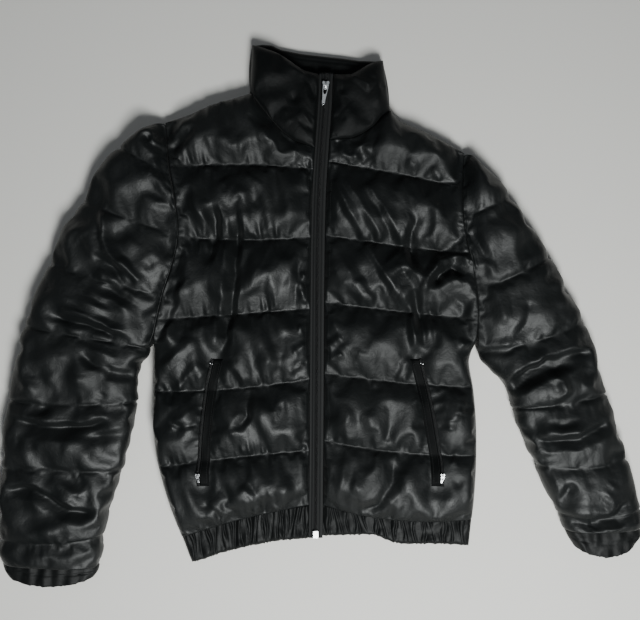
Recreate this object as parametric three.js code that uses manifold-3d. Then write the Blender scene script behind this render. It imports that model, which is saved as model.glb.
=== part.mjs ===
// A padded jacket laid flat on its back, front up, zipped to the collar, with its sleeves out and down.
// Millimetres. X runs to the viewer's right, Y towards the collar, Z up from the surface that it lies on.
// Right and left in the names are the wearer's, so the right side has negative X.
import * as THREE from "three";
import { mergeVertices } from "three/addons/utils/BufferGeometryUtils.js";
import Module from "manifold-3d";

const wasm = await Module();
wasm.setup();

// Driving dimensions
const SEAM_GAP = 0.3; // clearance between pieces that are sewn together
const BACK_WALL = 14; // padded back, and the lower wall of each sleeve
const HEM_BACK_WALL = 8; // back of the elasticated hem
const EDGE_WALL = 3; // cloth and little filling at an outer edge
const SEAM_WALL = 12; // wall at a sewn line
const ARMHOLE_WALL = 20; // wall at the armhole, where body and sleeve are full on both sides
const ARMHOLE_REACH = 34; // from the armhole to the plain wall
const SHOULDER_REACH = 70; // from the shoulder's tip to the full armhole
const FRONT_CROWN = 17; // rise of a front's channel above its seams
const SLEEVE_CROWN = 23; // rise of a sleeve's channel above its seams
const COLLAR_CROWN = 13;
const CUFF_CROWN = 8;
const CHANNEL_REACH = 40; // from a quilted seam to the flat of its channel
const ACROSS_REACH = 46; // from a side to the flat of a channel
const EDGE_REACH = 14; // from an outer edge to the full wall
const ROUND_REACH = 60; // from a sleeve's side to its crest
const UNDERARM_Y = -43;
const ZIP_HALF_WIDTH = 10; // from the zip's centre to a front's edge
const CHAIN_HALF_WIDTH = 3;
const TAPE_THICKNESS = 2;
const CHAIN_THICKNESS = 2;
const ZIP_TOP_Y = 335;
const HEM_GATHERS = 24; // each side of the zip
const HEM_GATHER_RISE = 3;
const CUFF_GATHERS = 11;
const CUFF_GATHER_RISE = 2.5;
const WELT_WIDTH = 15;
const WELT_THICKNESS = 2;
const POCKET_CHAIN_WIDTH = 4;
const POCKET_PRESS = 0.7; // share of a channel's crown that a pocket holds down
const POCKET_PRESS_WIDTH = 16; // and how far to each side
const HEM_END_Y = -316; // where the zip's tapes end
const BOX_SIZE = { width: 8, length: 11, corner: 1.5, thickness: 3.2, rise: 1 };
const SLIDER_Y = 316;
const SLIDER_TURN = -8; // degrees, of the pull on the closed zip
const PULL_DROOP = 3; // degrees
const POCKET_SLIDER_SIZE = 0.62; // of the front zip's slider
const POCKET_PULL_LENGTH = 9;
const POCKET_PULL_TURN = 14; // degrees
const COLLAR_TOP_REACH = 34; // from a flap's top edge to its crown
const COLLAR_SEAM_REACH = 26; // from its seam to its crown
const COLLAR_SIDE_REACH = 40;
const GATHER_END_REACH = 12; // gathers fade out this near a cuff's sides
const EDGE_RISE_SHARE = 0.25; // of its full wall that a band keeps at its open edge

// Centre of the front zip, from the collar's top to the hem
const ZIP_LINE = [
  { y: 350, x: 7 },
  { y: 284, x: 4 },
  { y: 228, x: 0 },
  { y: 158, x: -4 },
  { y: 46, x: -6 },
  { y: -122, x: -7 },
  { y: -262, x: -8 },
  { y: -330, x: -9 },
];

// Height of the zip's tapes
const ZIP_HEIGHT = [
  { y: 350, z: 30 },
  { y: 228, z: 28 },
  { y: 120, z: 25 },
  { y: -80, z: 24 },
  { y: -240, z: 22 },
  { y: -330, z: 19 },
];

// Each side of the body from shoulder to hem: the armhole down to the underarm, then the open side
const SIDE_RIGHT = [
  { y: 267, x: -220 },
  { y: 203, x: -211 },
  { y: 158, x: -203 },
  { y: 106, x: -199 },
  { y: 60, x: -209 },
  { y: 18, x: -222 },
  { y: -43, x: -234 },
  { y: -108, x: -237 },
  { y: -150, x: -237 },
  { y: -199, x: -233 },
  { y: -234, x: -225 },
  { y: -276, x: -212 },
  { y: -314, x: -197 },
];
const SIDE_LEFT = [
  { y: 224, x: 200 },
  { y: 193, x: 197 },
  { y: 151, x: 195 },
  { y: 106, x: 199 },
  { y: 72, x: 207 },
  { y: 28, x: 215 },
  { y: -10, x: 216 },
  { y: -43, x: 213 },
  { y: -66, x: 207 },
  { y: -80, x: 208 },
  { y: -108, x: 213 },
  { y: -157, x: 217 },
  { y: -213, x: 217 },
  { y: -262, x: 214 },
  { y: -288, x: 211 },
];

// Shoulder and then collar seam, from the armhole to the zip
const TOP_RIGHT = [
  { x: -220, y: 267 },
  { x: -185, y: 279 },
  { x: -157, y: 292 },
  { x: -129, y: 300 },
  { x: -100, y: 309 },
  { x: -87, y: 291 },
  { x: -73, y: 273 },
  { x: -55, y: 253 },
  { x: -38, y: 240 },
  { x: -10, y: 230 },
];
const TOP_LEFT = [
  { x: 200, y: 224 },
  { x: 179, y: 237 },
  { x: 144, y: 255 },
  { x: 112, y: 268 },
  { x: 97, y: 283 },
  { x: 85, y: 276 },
  { x: 73, y: 262 },
  { x: 58, y: 251 },
  { x: 42, y: 244 },
  { x: 10, y: 241 },
];
const NECK_X = { right: -100, left: 97 };

// Quilted seams across each front, from the side to the zip, and last the seam of the hem
const SEAMS_RIGHT = [
  { sideY: 203, middleY: 207, zipY: 200 },
  { sideY: 106, middleY: 102, zipY: 106 },
  { sideY: -9, middleY: -2, zipY: 6 },
  { sideY: -109, middleY: -106, zipY: -92 },
  { sideY: -216, middleY: -202, zipY: -192 },
  { sideY: -314, middleY: -287, zipY: -269 },
];
const SEAMS_LEFT = [
  { sideY: 175, middleY: 195, zipY: 211 },
  { sideY: 83, middleY: 94, zipY: 109 },
  { sideY: -9, middleY: 2, zipY: 15 },
  { sideY: -104, middleY: -97, zipY: -84 },
  { sideY: -199, middleY: -195, zipY: -178 },
  { sideY: -288, middleY: -290, zipY: -269 },
];

// Main folds: a soft ridge, or a trough where rise is negative, along a short path
const FOLDS_RIGHT = [
  { path: [[-115, 137], [-120, 74], [-130, -3], [-136, -45], [-143, -73]], width: 10, rise: -8 },
  { path: [[-140, 189], [-118, 151]], width: 10, rise: 6 },
  { path: [[-90, 189], [-115, 154]], width: 10, rise: 6 },
  { path: [[-185, 172], [-167, 130], [-150, 109]], width: 10, rise: 7 },
  { path: [[-55, 88], [-84, 39], [-104, 4]], width: 11, rise: 6 },
  { path: [[-31, 77], [-36, 39], [-41, -10]], width: 9, rise: 5 },
  { path: [[-59, -24], [-62, -66], [-76, -87]], width: 10, rise: -6 },
  { path: [[-101, -105], [-102, -157], [-118, -161]], width: 10, rise: -7 },
  { path: [[-111, -234], [-90, -273]], width: 10, rise: 6 },
  { path: [[-195, 32], [-216, -45]], width: 10, rise: 5 },
  { path: [[-171, -136], [-217, -164]], width: 10, rise: 5 },
];
const FOLDS_LEFT = [
  { path: [[14, 189], [53, 109], [74, 67], [99, 18]], width: 11, rise: 6 },
  { path: [[64, 172], [88, 137], [116, 95]], width: 11, rise: 6 },
  { path: [[134, 147], [122, 95]], width: 9, rise: -6 },
  { path: [[161, 36], [146, 46], [148, 63], [165, 74], [186, 80], [207, 71]], width: 9, rise: 7 },
  { path: [[106, 71], [140, 25]], width: 9, rise: -6 },
  { path: [[116, 25], [123, -45], [130, -69]], width: 10, rise: -7 },
  { path: [[6, 69], [32, 18]], width: 10, rise: 5 },
  { path: [[99, -59], [106, -94]], width: 10, rise: 5 },
  { path: [[81, -178], [74, -206], [46, -248]], width: 11, rise: 6 },
  { path: [[99, -206], [95, -248], [74, -269]], width: 10, rise: -7 },
];
const SLEEVE_FOLDS_RIGHT = [
  { path: [[-318, 151], [-298, 123], [-293, 84], [-272, 49], [-255, 36]], width: 10, rise: 8 },
  { path: [[-311, 42], [-248, 4]], width: 10, rise: -8 },
  { path: [[-360, 11], [-276, -27]], width: 10, rise: -8 },
  { path: [[-335, -42], [-283, -62]], width: 11, rise: 6 },
  { path: [[-395, -155], [-340, -157], [-293, -150]], width: 10, rise: -9 },
  { path: [[-402, -241], [-346, -259]], width: 10, rise: 6 },
  { path: [[-377, -259], [-346, -274], [-307, -277]], width: 10, rise: -10 },
];
const SLEEVE_FOLDS_LEFT = [
  { path: [[284, 18], [277, -17], [263, -41]], width: 10, rise: -8 },
  { path: [[232, 42], [245, 18], [253, -17]], width: 10, rise: 7 },
  { path: [[263, -99], [284, -80], [312, -66], [354, -53], [372, -55]], width: 12, rise: -15 },
  { path: [[305, -83], [330, -94], [330, -108], [319, -122]], width: 10, rise: 6 },
  { path: [[295, -174], [316, -178], [354, -172], [393, -150]], width: 11, rise: -10 },
  { path: [[309, -199], [329, -259]], width: 11, rise: 6 },
];
const COLLAR_FOLDS_RIGHT = [
  { path: [[-45, 304], [-28, 280], [-12, 252]], width: 8, rise: -6 },
  { path: [[-21, 335], [-14, 310], [-8, 293]], width: 8, rise: -7 },
];
const COLLAR_FOLDS_LEFT = [
  { path: [[20, 336], [30, 325], [25, 306]], width: 8, rise: 6 },
  { path: [[40, 331], [68, 312]], width: 9, rise: 5 },
];

// Each sleeve from the shoulder's tip down: outer and inner edge, in turns at a seam and between two
const SLEEVE_RIGHT = [
  { outer: [-228, 264], inner: [-219, 257], bow: 0 },
  { outer: [-258, 251], inner: [-216, 228], bow: 0 },
  { outer: [-283, 230], inner: [-211, 192], bow: 0 },
  { outer: [-311, 200], inner: [-203, 151], bow: 0 },
  { outer: [-336, 155], inner: [-199, 106], bow: 0 },
  { outer: [-360, 116], inner: [-209, 62], bow: 2 },
  { outer: [-381, 69], inner: [-221, 24], bow: 3 },
  { outer: [-402, 24], inner: [-229, -16], bow: 2 },
  { outer: [-417, -18], inner: [-241, -49], bow: 0 },
  { outer: [-428, -69], inner: [-259, -83], bow: 0 },
  { outer: [-438, -122], inner: [-261, -125], bow: 3 },
  { outer: [-444, -167], inner: [-269, -165], bow: 4 },
  { outer: [-449, -217], inner: [-281, -220], bow: 0 },
  { outer: [-452, -266], inner: [-297, -265], bow: 5 },
  { outer: [-452, -315], inner: [-308, -312], bow: 5 },
  { outer: [-451, -333], inner: [-311, -334], bow: 3 },
  { outer: [-448, -350], inner: [-314, -356], bow: 0 },
];
const SLEEVE_LEFT = [
  { outer: [207, 219], inner: [200, 210], bow: 0 },
  { outer: [235, 195], inner: [196, 169], bow: 0 },
  { outer: [265, 161], inner: [195, 131], bow: 0 },
  { outer: [293, 119], inner: [203, 90], bow: 0 },
  { outer: [319, 78], inner: [214, 32], bow: 3 },
  { outer: [344, 32], inner: [216, -10], bow: 4 },
  { outer: [367, -13], inner: [221, -57], bow: 4 },
  { outer: [386, -66], inner: [254, -96], bow: 4 },
  { outer: [398, -113], inner: [269, -133], bow: 3 },
  { outer: [413, -160], inner: [284, -174], bow: 6 },
  { outer: [427, -204], inner: [301, -213], bow: 6 },
  { outer: [437, -244], inner: [318, -252], bow: 8 },
  { outer: [446, -272], inner: [332, -279], bow: 10 },
  { outer: [448, -287], inner: [338, -292], bow: 8 },
  { outer: [447, -301], inner: [343, -305], bow: 0 },
];
const CUFF_RIGHT = [
  { outer: [-448, -350], inner: [-314, -356], bow: 0 },
  { outer: [-446, -358], inner: [-316, -363], bow: 5 },
  { outer: [-439, -369], inner: [-321, -370], bow: 10 },
];
const CUFF_LEFT = [
  { outer: [447, -301], inner: [343, -305], bow: 0 },
  { outer: [448, -310], inner: [347, -314], bow: 11 },
  { outer: [440, -323], inner: [356, -328], bow: 13 },
];

// Collar: the side and top of its back, and the top edge of each front flap, from side to zip
const COLLAR_BACK_TOP = [
  [-101, 330],
  [-102, 357],
  [-99, 379],
  [-84, 381],
  [-71, 380],
  [-59, 374],
  [-31, 368],
  [4, 364],
  [32, 361],
  [53, 358],
  [86, 357],
  [91, 337],
  [95, 309],
];
const COLLAR_FLAP_RIGHT = [
  [-98, 377],
  [-84, 373],
  [-66, 366],
  [-45, 354],
  [-24, 341],
  [-4, 335],
];
const COLLAR_FLAP_LEFT = [
  [86, 355],
  [74, 353],
  [63, 348],
  [53, 342],
  [42, 336],
  [17, 335],
];
const BACK_NECK_DIP = 8; // the hidden back neckline bows down this far

// Lower edge of the hem, from the side to the zip
const HEM_EDGE_RIGHT = [
  [-183, -351],
  [-171, -349],
  [-143, -339],
  [-108, -330],
  [-59, -321],
  [-19, -318],
];
const HEM_EDGE_LEFT = [
  [207, -328],
  [165, -326],
  [112, -326],
  [98, -323],
  [74, -313],
  [1, -314],
];

// Zip of each hand pocket, from its top to its slider
const POCKET_RIGHT = [
  [-152, -64],
  [-161, -101],
  [-165, -136],
  [-169, -178],
  [-172, -220],
  [-171, -240],
];
const POCKET_LEFT = [
  [137, -64],
  [147, -101],
  [154, -136],
  [160, -171],
  [166, -203],
  [167, -240],
];

// How the rows and columns of points are spread over a channel and across a panel
const CHANNEL_ROWS = [0, 0.07, 0.2, 0.4, 0.6, 0.8, 0.93];
const SLEEVE_ROWS = [0, 0.07, 0.22, 0.5, 0.78, 0.93];
const PANEL_COLUMNS = [0, 0.015, 0.045, 0.1, 0.18, 0.27, 0.37, 0.47, 0.57, 0.67, 0.77, 0.86, 0.94, 1];
const SLEEVE_COLUMNS = [0, 0.012, 0.05, 0.12, 0.22, 0.34, 0.46, 0.58, 0.7, 0.81, 0.91, 0.98, 1];
const FLAP_COLUMNS = [0, 0.02, 0.07, 0.15, 0.25, 0.36, 0.48, 0.6, 0.71, 0.81, 0.9, 0.96, 1];
const FLAP_ROWS = [0, 0.02, 0.07, 0.16, 0.28, 0.42, 0.56, 0.7, 0.82, 0.92, 1];
const BAND_ROWS = [0, 0.2, 0.8, 1];
const CUFF_ROWS = [0, 0.25, 0.6];
const ZIP_ROWS = 25;
const POCKET_ROWS = 13;
const POINTS_A_GATHER = 4;
const RIM = [
  { height: 0, inset: 7 },
  { height: 0.25, inset: 2.2 },
  { height: 0.65, inset: 0.3 },
  { height: 1, inset: 0 },
];

// Plain arithmetic
const mix = (a, b, share) => a + (b - a) * share;
const clamp = (value) => Math.min(1, Math.max(0, value));
const smooth = (value) => clamp(value) ** 2 * (3 - 2 * clamp(value));
const mixPoint = (a, b, share) => [mix(a[0], b[0], share), mix(a[1], b[1], share)];
const apart = (a, b) => Math.hypot(b[0] - a[0], b[1] - a[1]);

// A rounded rise from 0 to 1 over a reach, like the side of a cushion
function arch(distance, reach) {
  return Math.sqrt(1 - (1 - clamp(distance / reach)) ** 2);
}

// The value of a table's column where its key column has the given value, on a smooth curve
function columnAt(rows, key, column, at) {
  const rising = rows[rows.length - 1][key] > rows[0][key];
  let row = 0;
  while (row < rows.length - 2 && (rising ? at > rows[row + 1][key] : at < rows[row + 1][key])) row++;
  const slope = (i) => {
    const before = rows[Math.max(0, i - 1)];
    const after = rows[Math.min(rows.length - 1, i + 1)];
    return (after[column] - before[column]) / (after[key] - before[key]);
  };
  const [from, to] = [rows[row], rows[row + 1]];
  const span = to[key] - from[key];
  const t = clamp((at - from[key]) / span);
  const keep = (1 + 2 * t) * (1 - t) ** 2;
  return (
    from[column] * keep +
    to[column] * (1 - keep) +
    span * (slope(row) * t * (1 - t) ** 2 - slope(row + 1) * t ** 2 * (1 - t))
  );
}

// The same, on straight lines between the rows
function straightAt(rows, key, column, at) {
  const rising = rows[rows.length - 1][key] > rows[0][key];
  let row = 0;
  while (row < rows.length - 2 && (rising ? at > rows[row + 1][key] : at < rows[row + 1][key])) row++;
  const [from, to] = [rows[row], rows[row + 1]];
  return mix(from[column], to[column], clamp((at - from[key]) / (to[key] - from[key])));
}

const zipX = (y) => columnAt(ZIP_LINE, "y", "x", y);
const zipZ = (y) => columnAt(ZIP_HEIGHT, "y", "z", y);

// How much higher than a seam a front's wall is beside the zip's tape
const liftToZip = (y) => zipZ(y) + TAPE_THICKNESS - BACK_WALL - SEAM_GAP - SEAM_WALL;

// The point at a share of a polyline's length
function alongLine(line, share) {
  const lengths = line.slice(1).map((point, i) => apart(line[i], point));
  let left = share * lengths.reduce((sum, length) => sum + length, 0);
  for (let i = 0; i < lengths.length; i++) {
    if (left <= lengths[i] || i === lengths.length - 1) {
      return mixPoint(line[i], line[i + 1], clamp(left / lengths[i]));
    }
    left -= lengths[i];
  }
  return line[line.length - 1];
}

// How far a place is from a polyline, and at what share of the polyline's length
function nearestOnLine(line, x, y) {
  const lengths = line.slice(1).map((point, i) => apart(line[i], point));
  const total = lengths.reduce((sum, length) => sum + length, 0);
  let best = { distance: Infinity, share: 0 };
  let before = 0;
  for (let i = 0; i < lengths.length; i++) {
    const [from, to] = [line[i], line[i + 1]];
    const dot = (x - from[0]) * (to[0] - from[0]) + (y - from[1]) * (to[1] - from[1]);
    const t = clamp(dot / lengths[i] ** 2);
    const distance = apart(mixPoint(from, to, t), [x, y]);
    if (distance < best.distance) best = { distance, share: (before + t * lengths[i]) / total };
    before += lengths[i];
  }
  return best;
}

// What the folds add to the height at a place: each fades out at both ends
function foldRise(folds, x, y) {
  let rise = 0;
  for (const fold of folds) {
    const { distance, share } = nearestOnLine(fold.path, x, y);
    const fade = smooth(Math.min(share, 1 - share) * 5 + 0.25);
    rise += fold.rise * fade * Math.exp(-((distance / fold.width) ** 2));
  }
  return rise;
}

// The index turned round where a closed surface faces inwards
function facingOut(positions, index) {
  const at = (i) => new THREE.Vector3().fromArray(positions, 3 * i);
  let volume = 0;
  for (let i = 0; i < index.length; i += 3) {
    volume += at(index[i]).dot(at(index[i + 1]).cross(at(index[i + 2])));
  }
  if (volume < 0) {
    for (let i = 0; i < index.length; i += 3) {
      [index[i + 1], index[i + 2]] = [index[i + 2], index[i + 1]];
    }
  }
  const geometry = new THREE.BufferGeometry();
  geometry.setAttribute("position", new THREE.Float32BufferAttribute(positions, 3));
  geometry.setIndex(index);
  geometry.computeVertexNormals();
  return geometry;
}

// Stitches the sides between two closed rings of the same length
function stitchRings(index, lower, upper, count) {
  for (let i = 0; i < count; i++) {
    const next = (i + 1) % count;
    index.push(lower + i, lower + next, upper + next, lower + i, upper + next, upper + i);
  }
}

// Covers a ring's flat face, wound to agree with the sides that are stitched already
function coverRing(index, start, outline) {
  const contour = outline.map(([x, y]) => new THREE.Vector2(x, y));
  const faces = THREE.ShapeUtils.triangulateShape(contour, []).flat().map((vertex) => start + vertex);
  const runs = (list) =>
    list.some((from, i) => from === start && list[i - (i % 3) + ((i + 1) % 3)] === start + 1);
  if (runs(index) === runs(faces)) faces.reverse();
  index.push(...faces);
}

// Covers the inside of a long band with strips from its seam to its edge, and a fan at each end
function coverBand(index, start, rows, columns) {
  const [side, far] = [rows - 1, columns - 1];
  const upper = (column) => (column ? start + 2 * side + 2 * far - column : start);
  const lower = (column) => start + side + column;
  for (let column = 1; column < far - 1; column++) {
    index.push(upper(column), upper(column + 1), lower(column + 1));
    index.push(upper(column), lower(column + 1), lower(column));
  }
  const nearFan = Array.from({ length: rows + 1 }, (_, i) => (i < rows ? start + i : lower(1)));
  const farFan = Array.from({ length: rows + 1 }, (_, i) => lower(far - 1) + i);
  for (let i = 0; i < rows; i++) {
    index.push(upper(1), nearFan[i + 1], nearFan[i]);
    index.push(upper(far - 1), farFan[i + 1], farFan[i]);
  }
}

// A wall under a grid of points, with a plain flat inside at one height
function wallUnderGrid(grid, insideZ, isBand = false) {
  const rows = grid.length;
  const columns = grid[0].length;
  const positions = grid.flat(2);
  const index = [];
  const at = (row, column) => row * columns + column;
  for (let row = 0; row < rows - 1; row++) {
    for (let column = 0; column < columns - 1; column++) {
      const [a, b] = [at(row, column), at(row, column + 1)];
      const [c, d] = [at(row + 1, column + 1), at(row + 1, column)];
      index.push(a, d, c, a, c, b);
    }
  }
  const rim = [];
  for (let row = 0; row < rows - 1; row++) rim.push(at(row, 0));
  for (let column = 0; column < columns - 1; column++) rim.push(at(rows - 1, column));
  for (let row = rows - 1; row > 0; row--) rim.push(at(row, columns - 1));
  for (let column = columns - 1; column > 0; column--) rim.push(at(0, column));
  const inside = positions.length / 3;
  const outline = rim.map((vertex) => [positions[3 * vertex], positions[3 * vertex + 1]]);
  for (const [x, y] of outline) positions.push(x, y, insideZ);
  rim.forEach((vertex, i) => {
    const next = (i + 1) % rim.length;
    index.push(vertex, inside + i, inside + next, vertex, inside + next, rim[next]);
  });
  if (isBand) coverBand(index, inside, rows, columns);
  else coverRing(index, inside, outline);
  return facingOut(positions, index);
}

// A flat wall inside an outline, with a rim that rounds up from the surface where its edge is free
function slab(line, bottomZ, topZ) {
  const outline = withoutRepeats(line);
  const count = outline.length;
  const points = outline.map(({ x, y }) => new THREE.Vector2(x, y));
  const turn = THREE.ShapeUtils.area(points) > 0 ? 1 : -1;
  const inward = points.map((point, i) => {
    const before = points[(i + count - 1) % count];
    const after = points[(i + 1) % count];
    const along = after.clone().sub(before).normalize();
    return new THREE.Vector2(-along.y * turn, along.x * turn);
  });
  const positions = [];
  const rings = RIM.map(({ height, inset }) =>
    points.map((point, i) => {
      const step = inset * (outline[i].free ? 1 : 0);
      const place = point.clone().addScaledVector(inward[i], step);
      positions.push(place.x, place.y, mix(bottomZ, topZ, height));
      return [place.x, place.y];
    }),
  );
  const index = [];
  for (let ring = 0; ring < rings.length - 1; ring++) {
    stitchRings(index, ring * count, (ring + 1) * count, count);
  }
  const top = (rings.length - 1) * count;
  coverRing(index, 0, rings[0]);
  coverRing(index, top, rings[rings.length - 1]);
  return facingOut(positions, index);
}

// A strip of even section: each row has its left and right end and the heights of its two faces
function ribbon(rows) {
  const positions = [];
  for (const { left, right, bottom, top } of rows) {
    positions.push(...left, bottom, ...right, bottom, ...right, top, ...left, top);
  }
  const index = [];
  for (let row = 0; row < rows.length - 1; row++) stitchRings(index, 4 * row, 4 * row + 4, 4);
  const end = 4 * (rows.length - 1);
  index.push(0, 2, 1, 0, 3, 2, end, end + 1, end + 2, end, end + 2, end + 3);
  return facingOut(positions, index);
}

// Joins closed pieces into one solid
function join(...geometries) {
  const solids = geometries.map((geometry) => {
    const plain = geometry.clone();
    plain.deleteAttribute("normal");
    plain.deleteAttribute("uv");
    const merged = mergeVertices(plain, 1e-4);
    return new wasm.Manifold(
      new wasm.Mesh({
        numProp: 3,
        vertProperties: merged.attributes.position.array,
        triVerts: new Uint32Array(merged.index.array),
      }),
    );
  });
  const mesh = solids.reduce((whole, solid) => whole.add(solid)).getMesh();
  return facingOut(Array.from(mesh.vertProperties), Array.from(mesh.triVerts));
}

// Materials
const cloth = () => new THREE.MeshStandardMaterial({ color: 0x141617, roughness: 0.42, metalness: 0 });
const tapeCloth = () => new THREE.MeshStandardMaterial({ color: 0x101112, roughness: 0.8, metalness: 0 });
const metal = () => new THREE.MeshStandardMaterial({ color: 0xc9ccd0, roughness: 0.25, metalness: 1 });

const jacket = new THREE.Group();

function add(name, geometry, material, parent = jacket) {
  const mesh = new THREE.Mesh(geometry, material);
  mesh.name = name;
  parent.add(mesh);
  return mesh;
}

// One front: a grid from its side to the zip and from its shoulder to the hem, raised between its seams
function frontGrid({ side, top, seams, folds, pocket, turn }) {
  const edgeX = (y) => columnAt(side, "y", "x", y);
  const zipEdge = (y) => zipX(y) + turn * ZIP_HALF_WIDTH;
  const insideZ = BACK_WALL + SEAM_GAP;
  const neckX = turn < 0 ? NECK_X.right : NECK_X.left;
  const seamY = ({ sideY, middleY, zipY }, share) => {
    const bow = middleY - (sideY + zipY) / 2;
    return mix(sideY, zipY, share) + 4 * bow * share * (1 - share);
  };
  const shoulder = (share) => {
    const x = mix(side[0].x, zipEdge(top[top.length - 1].y), share);
    return { x, y: straightAt(top, "x", "y", x) };
  };
  const neckShare = (neckX - side[0].x) / (zipEdge(top[top.length - 1].y) - side[0].x);
  const columns = PANEL_COLUMNS.map((share) => (Math.abs(share - neckShare) < 0.05 ? neckShare : share));
  const grid = [];
  const pushRow = (channel, share) => {
    const below = seams[channel];
    const above = channel ? seams[channel - 1] : null;
    const rowEnd = (across) => {
      const upper = above ? seamY(above, across) : shoulder(across).y;
      return mix(upper, seamY(below, across), share);
    };
    grid.push(
      columns.map((across) => {
        const y = rowEnd(across);
        const x = mix(edgeX(rowEnd(0)), zipEdge(rowEnd(1)), across);
        return [x, y, frontHeight(x, y, across, channel, share)];
      }),
    );
  };
  const frontHeight = (x, y, across, channel, share) => {
    const upperY = channel ? seamY(seams[channel - 1], across) : shoulder(across).y;
    const pitch = upperY - seamY(seams[channel], across);
    const fromSide = Math.abs(x - edgeX(y));
    const fromZip = Math.abs(x - zipEdge(y));
    const free = smooth((UNDERARM_Y + 12 - y) / 24);
    const shoulderFree = channel === 0 && turn * (x - neckX) > 0 ? 1 : 0;
    const edge = mix(1, arch(fromSide, EDGE_REACH), free);
    const shoulderEdge = mix(1, arch(share * pitch, EDGE_REACH), shoulderFree);
    const fromTip = smooth((side[0].y - y) / SHOULDER_REACH);
    const armhole = (1 - free) * smooth(1 - fromSide / ARMHOLE_REACH) * fromTip;
    const low =
      EDGE_WALL + (SEAM_WALL - EDGE_WALL) * edge * shoulderEdge + (ARMHOLE_WALL - SEAM_WALL) * armhole;
    const puff = arch(Math.min(share, 1 - share) * pitch, CHANNEL_REACH) * arch(fromSide, ACROSS_REACH);
    const fromPocket = nearestOnLine(pocket, x, y).distance;
    const press = POCKET_PRESS * Math.exp(-((fromPocket / POCKET_PRESS_WIDTH) ** 2));
    const inner = arch(fromZip, ACROSS_REACH);
    const body = low + FRONT_CROWN * puff * inner * (1 - press);
    const lift = liftToZip(y) * (1 - smooth(fromZip / ACROSS_REACH));
    const fold = foldRise(folds, x, y) * puff ** 0.5 * arch(fromZip, 20) * (1 - press);
    return insideZ + Math.max(EDGE_WALL, body + lift + fold);
  };
  seams.forEach((_, channel) => CHANNEL_ROWS.forEach((share) => pushRow(channel, share)));
  pushRow(seams.length - 1, 1);
  return { grid, columns, neckColumn: columns.indexOf(neckShare), insideZ };
}

const pocketMiddle = (line, turn) => line.map(([x, y]) => [x - (turn * WELT_WIDTH) / 2, y]);
const frontRight = frontGrid({
  side: SIDE_RIGHT,
  top: TOP_RIGHT,
  seams: SEAMS_RIGHT,
  folds: FOLDS_RIGHT,
  pocket: pocketMiddle(POCKET_RIGHT, -1),
  turn: -1,
});
const frontLeft = frontGrid({
  side: SIDE_LEFT,
  top: TOP_LEFT,
  seams: SEAMS_LEFT,
  folds: FOLDS_LEFT,
  pocket: pocketMiddle(POCKET_LEFT, 1),
  turn: 1,
});
add("front_right", wallUnderGrid(frontRight.grid, frontRight.insideZ), cloth());
add("front_left", wallUnderGrid(frontLeft.grid, frontLeft.insideZ), cloth());

// The back lies under both fronts and shares their outer lines; its neckline is hidden in the collar
const plan = (points, isFree) => points.map(([x, y]) => ({ x, y, free: isFree(x, y) }));
const always = () => true;
const never = () => false;
const withoutRepeats = (outline) =>
  outline.filter(({ x, y }, i) => {
    const { x: lastX, y: lastY } = outline[(i + outline.length - 1) % outline.length];
    return Math.hypot(x - lastX, y - lastY) > SEAM_GAP;
  });
const firstRow = (front) => front.grid[0];
const lastRow = (front) => front.grid[front.grid.length - 1];
const sidePoints = (front) => front.grid.map((row) => row[0]);
const shoulderPoints = (front) => firstRow(front).slice(0, front.neckColumn + 1);
const backNeck = [];
for (let step = 1; step < 8; step++) {
  const share = step / 8;
  const [from, to] = [shoulderPoints(frontRight).at(-1), shoulderPoints(frontLeft).at(-1)];
  const [x, y] = mixPoint(from, to, share);
  backNeck.push([x, y - 4 * BACK_NECK_DIP * share * (1 - share)]);
}
const isOpenSide = (x, y) => y < UNDERARM_Y;
const backOutline = [
  ...plan(shoulderPoints(frontRight).slice(1), always),
  ...plan(backNeck, never),
  ...plan(shoulderPoints(frontLeft).slice(1).reverse(), always),
  ...plan(sidePoints(frontLeft), isOpenSide),
  ...plan(lastRow(frontLeft).slice(1), never),
  ...plan(lastRow(frontRight).slice(1).reverse(), never),
  ...plan(sidePoints(frontRight).reverse(), isOpenSide),
];
add("back_panel", slab(backOutline, 0, BACK_WALL), cloth());

// A gathered or plain band that hangs from a seam line down to an edge line
function bandGrid({ seam, edge, columns, rows, height }) {
  return rows.map((down) =>
    columns.map((across) => {
      const [x, y] = mixPoint(alongLine(seam, across), alongLine(edge, across), down);
      return [x, y, height(x, y, across, down)];
    }),
  );
}

const lowered = (points) => points.map(([x, y]) => [x, y - SEAM_GAP]);
const gatherColumns = (gathers) => {
  const count = gathers * POINTS_A_GATHER;
  return Array.from({ length: count + 1 }, (_, i) => i / count);
};

// One gather's rise and place vary a little from the next
function gatherWave(across, count) {
  const phase = across * count + 0.22 * Math.sin(across * count * 1.7);
  const uneven = 0.75 + 0.25 * Math.sin(Math.floor(phase) * 2.3);
  return uneven * Math.cos(2 * Math.PI * phase);
}

// The front half of the hem, whose wall thins towards its open edge and its side
function hemFront(front, edge) {
  const insideZ = HEM_BACK_WALL + SEAM_GAP;
  const seam = lowered(lastRow(front));
  const deep = apart(seam[0], edge[0]);
  const wide = apart(edge[0], edge.at(-1));
  const height = (x, y, across, down) => {
    const open = arch((1 - down) * deep, EDGE_REACH) * arch(across * wide, EDGE_REACH);
    const swell = 0.5 + 0.5 * Math.sin(Math.PI * down);
    const wave = HEM_GATHER_RISE * gatherWave(across, HEM_GATHERS) * swell;
    return insideZ + EDGE_WALL + (SEAM_WALL - EDGE_WALL) * mix(EDGE_RISE_SHARE, 1, open) + wave;
  };
  const grid = bandGrid({ seam, edge, columns: gatherColumns(HEM_GATHERS), rows: BAND_ROWS, height });
  return wallUnderGrid(grid, insideZ, true);
}
add("hem_front_right", hemFront(frontRight, HEM_EDGE_RIGHT), cloth());
add("hem_front_left", hemFront(frontLeft, HEM_EDGE_LEFT), cloth());

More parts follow.
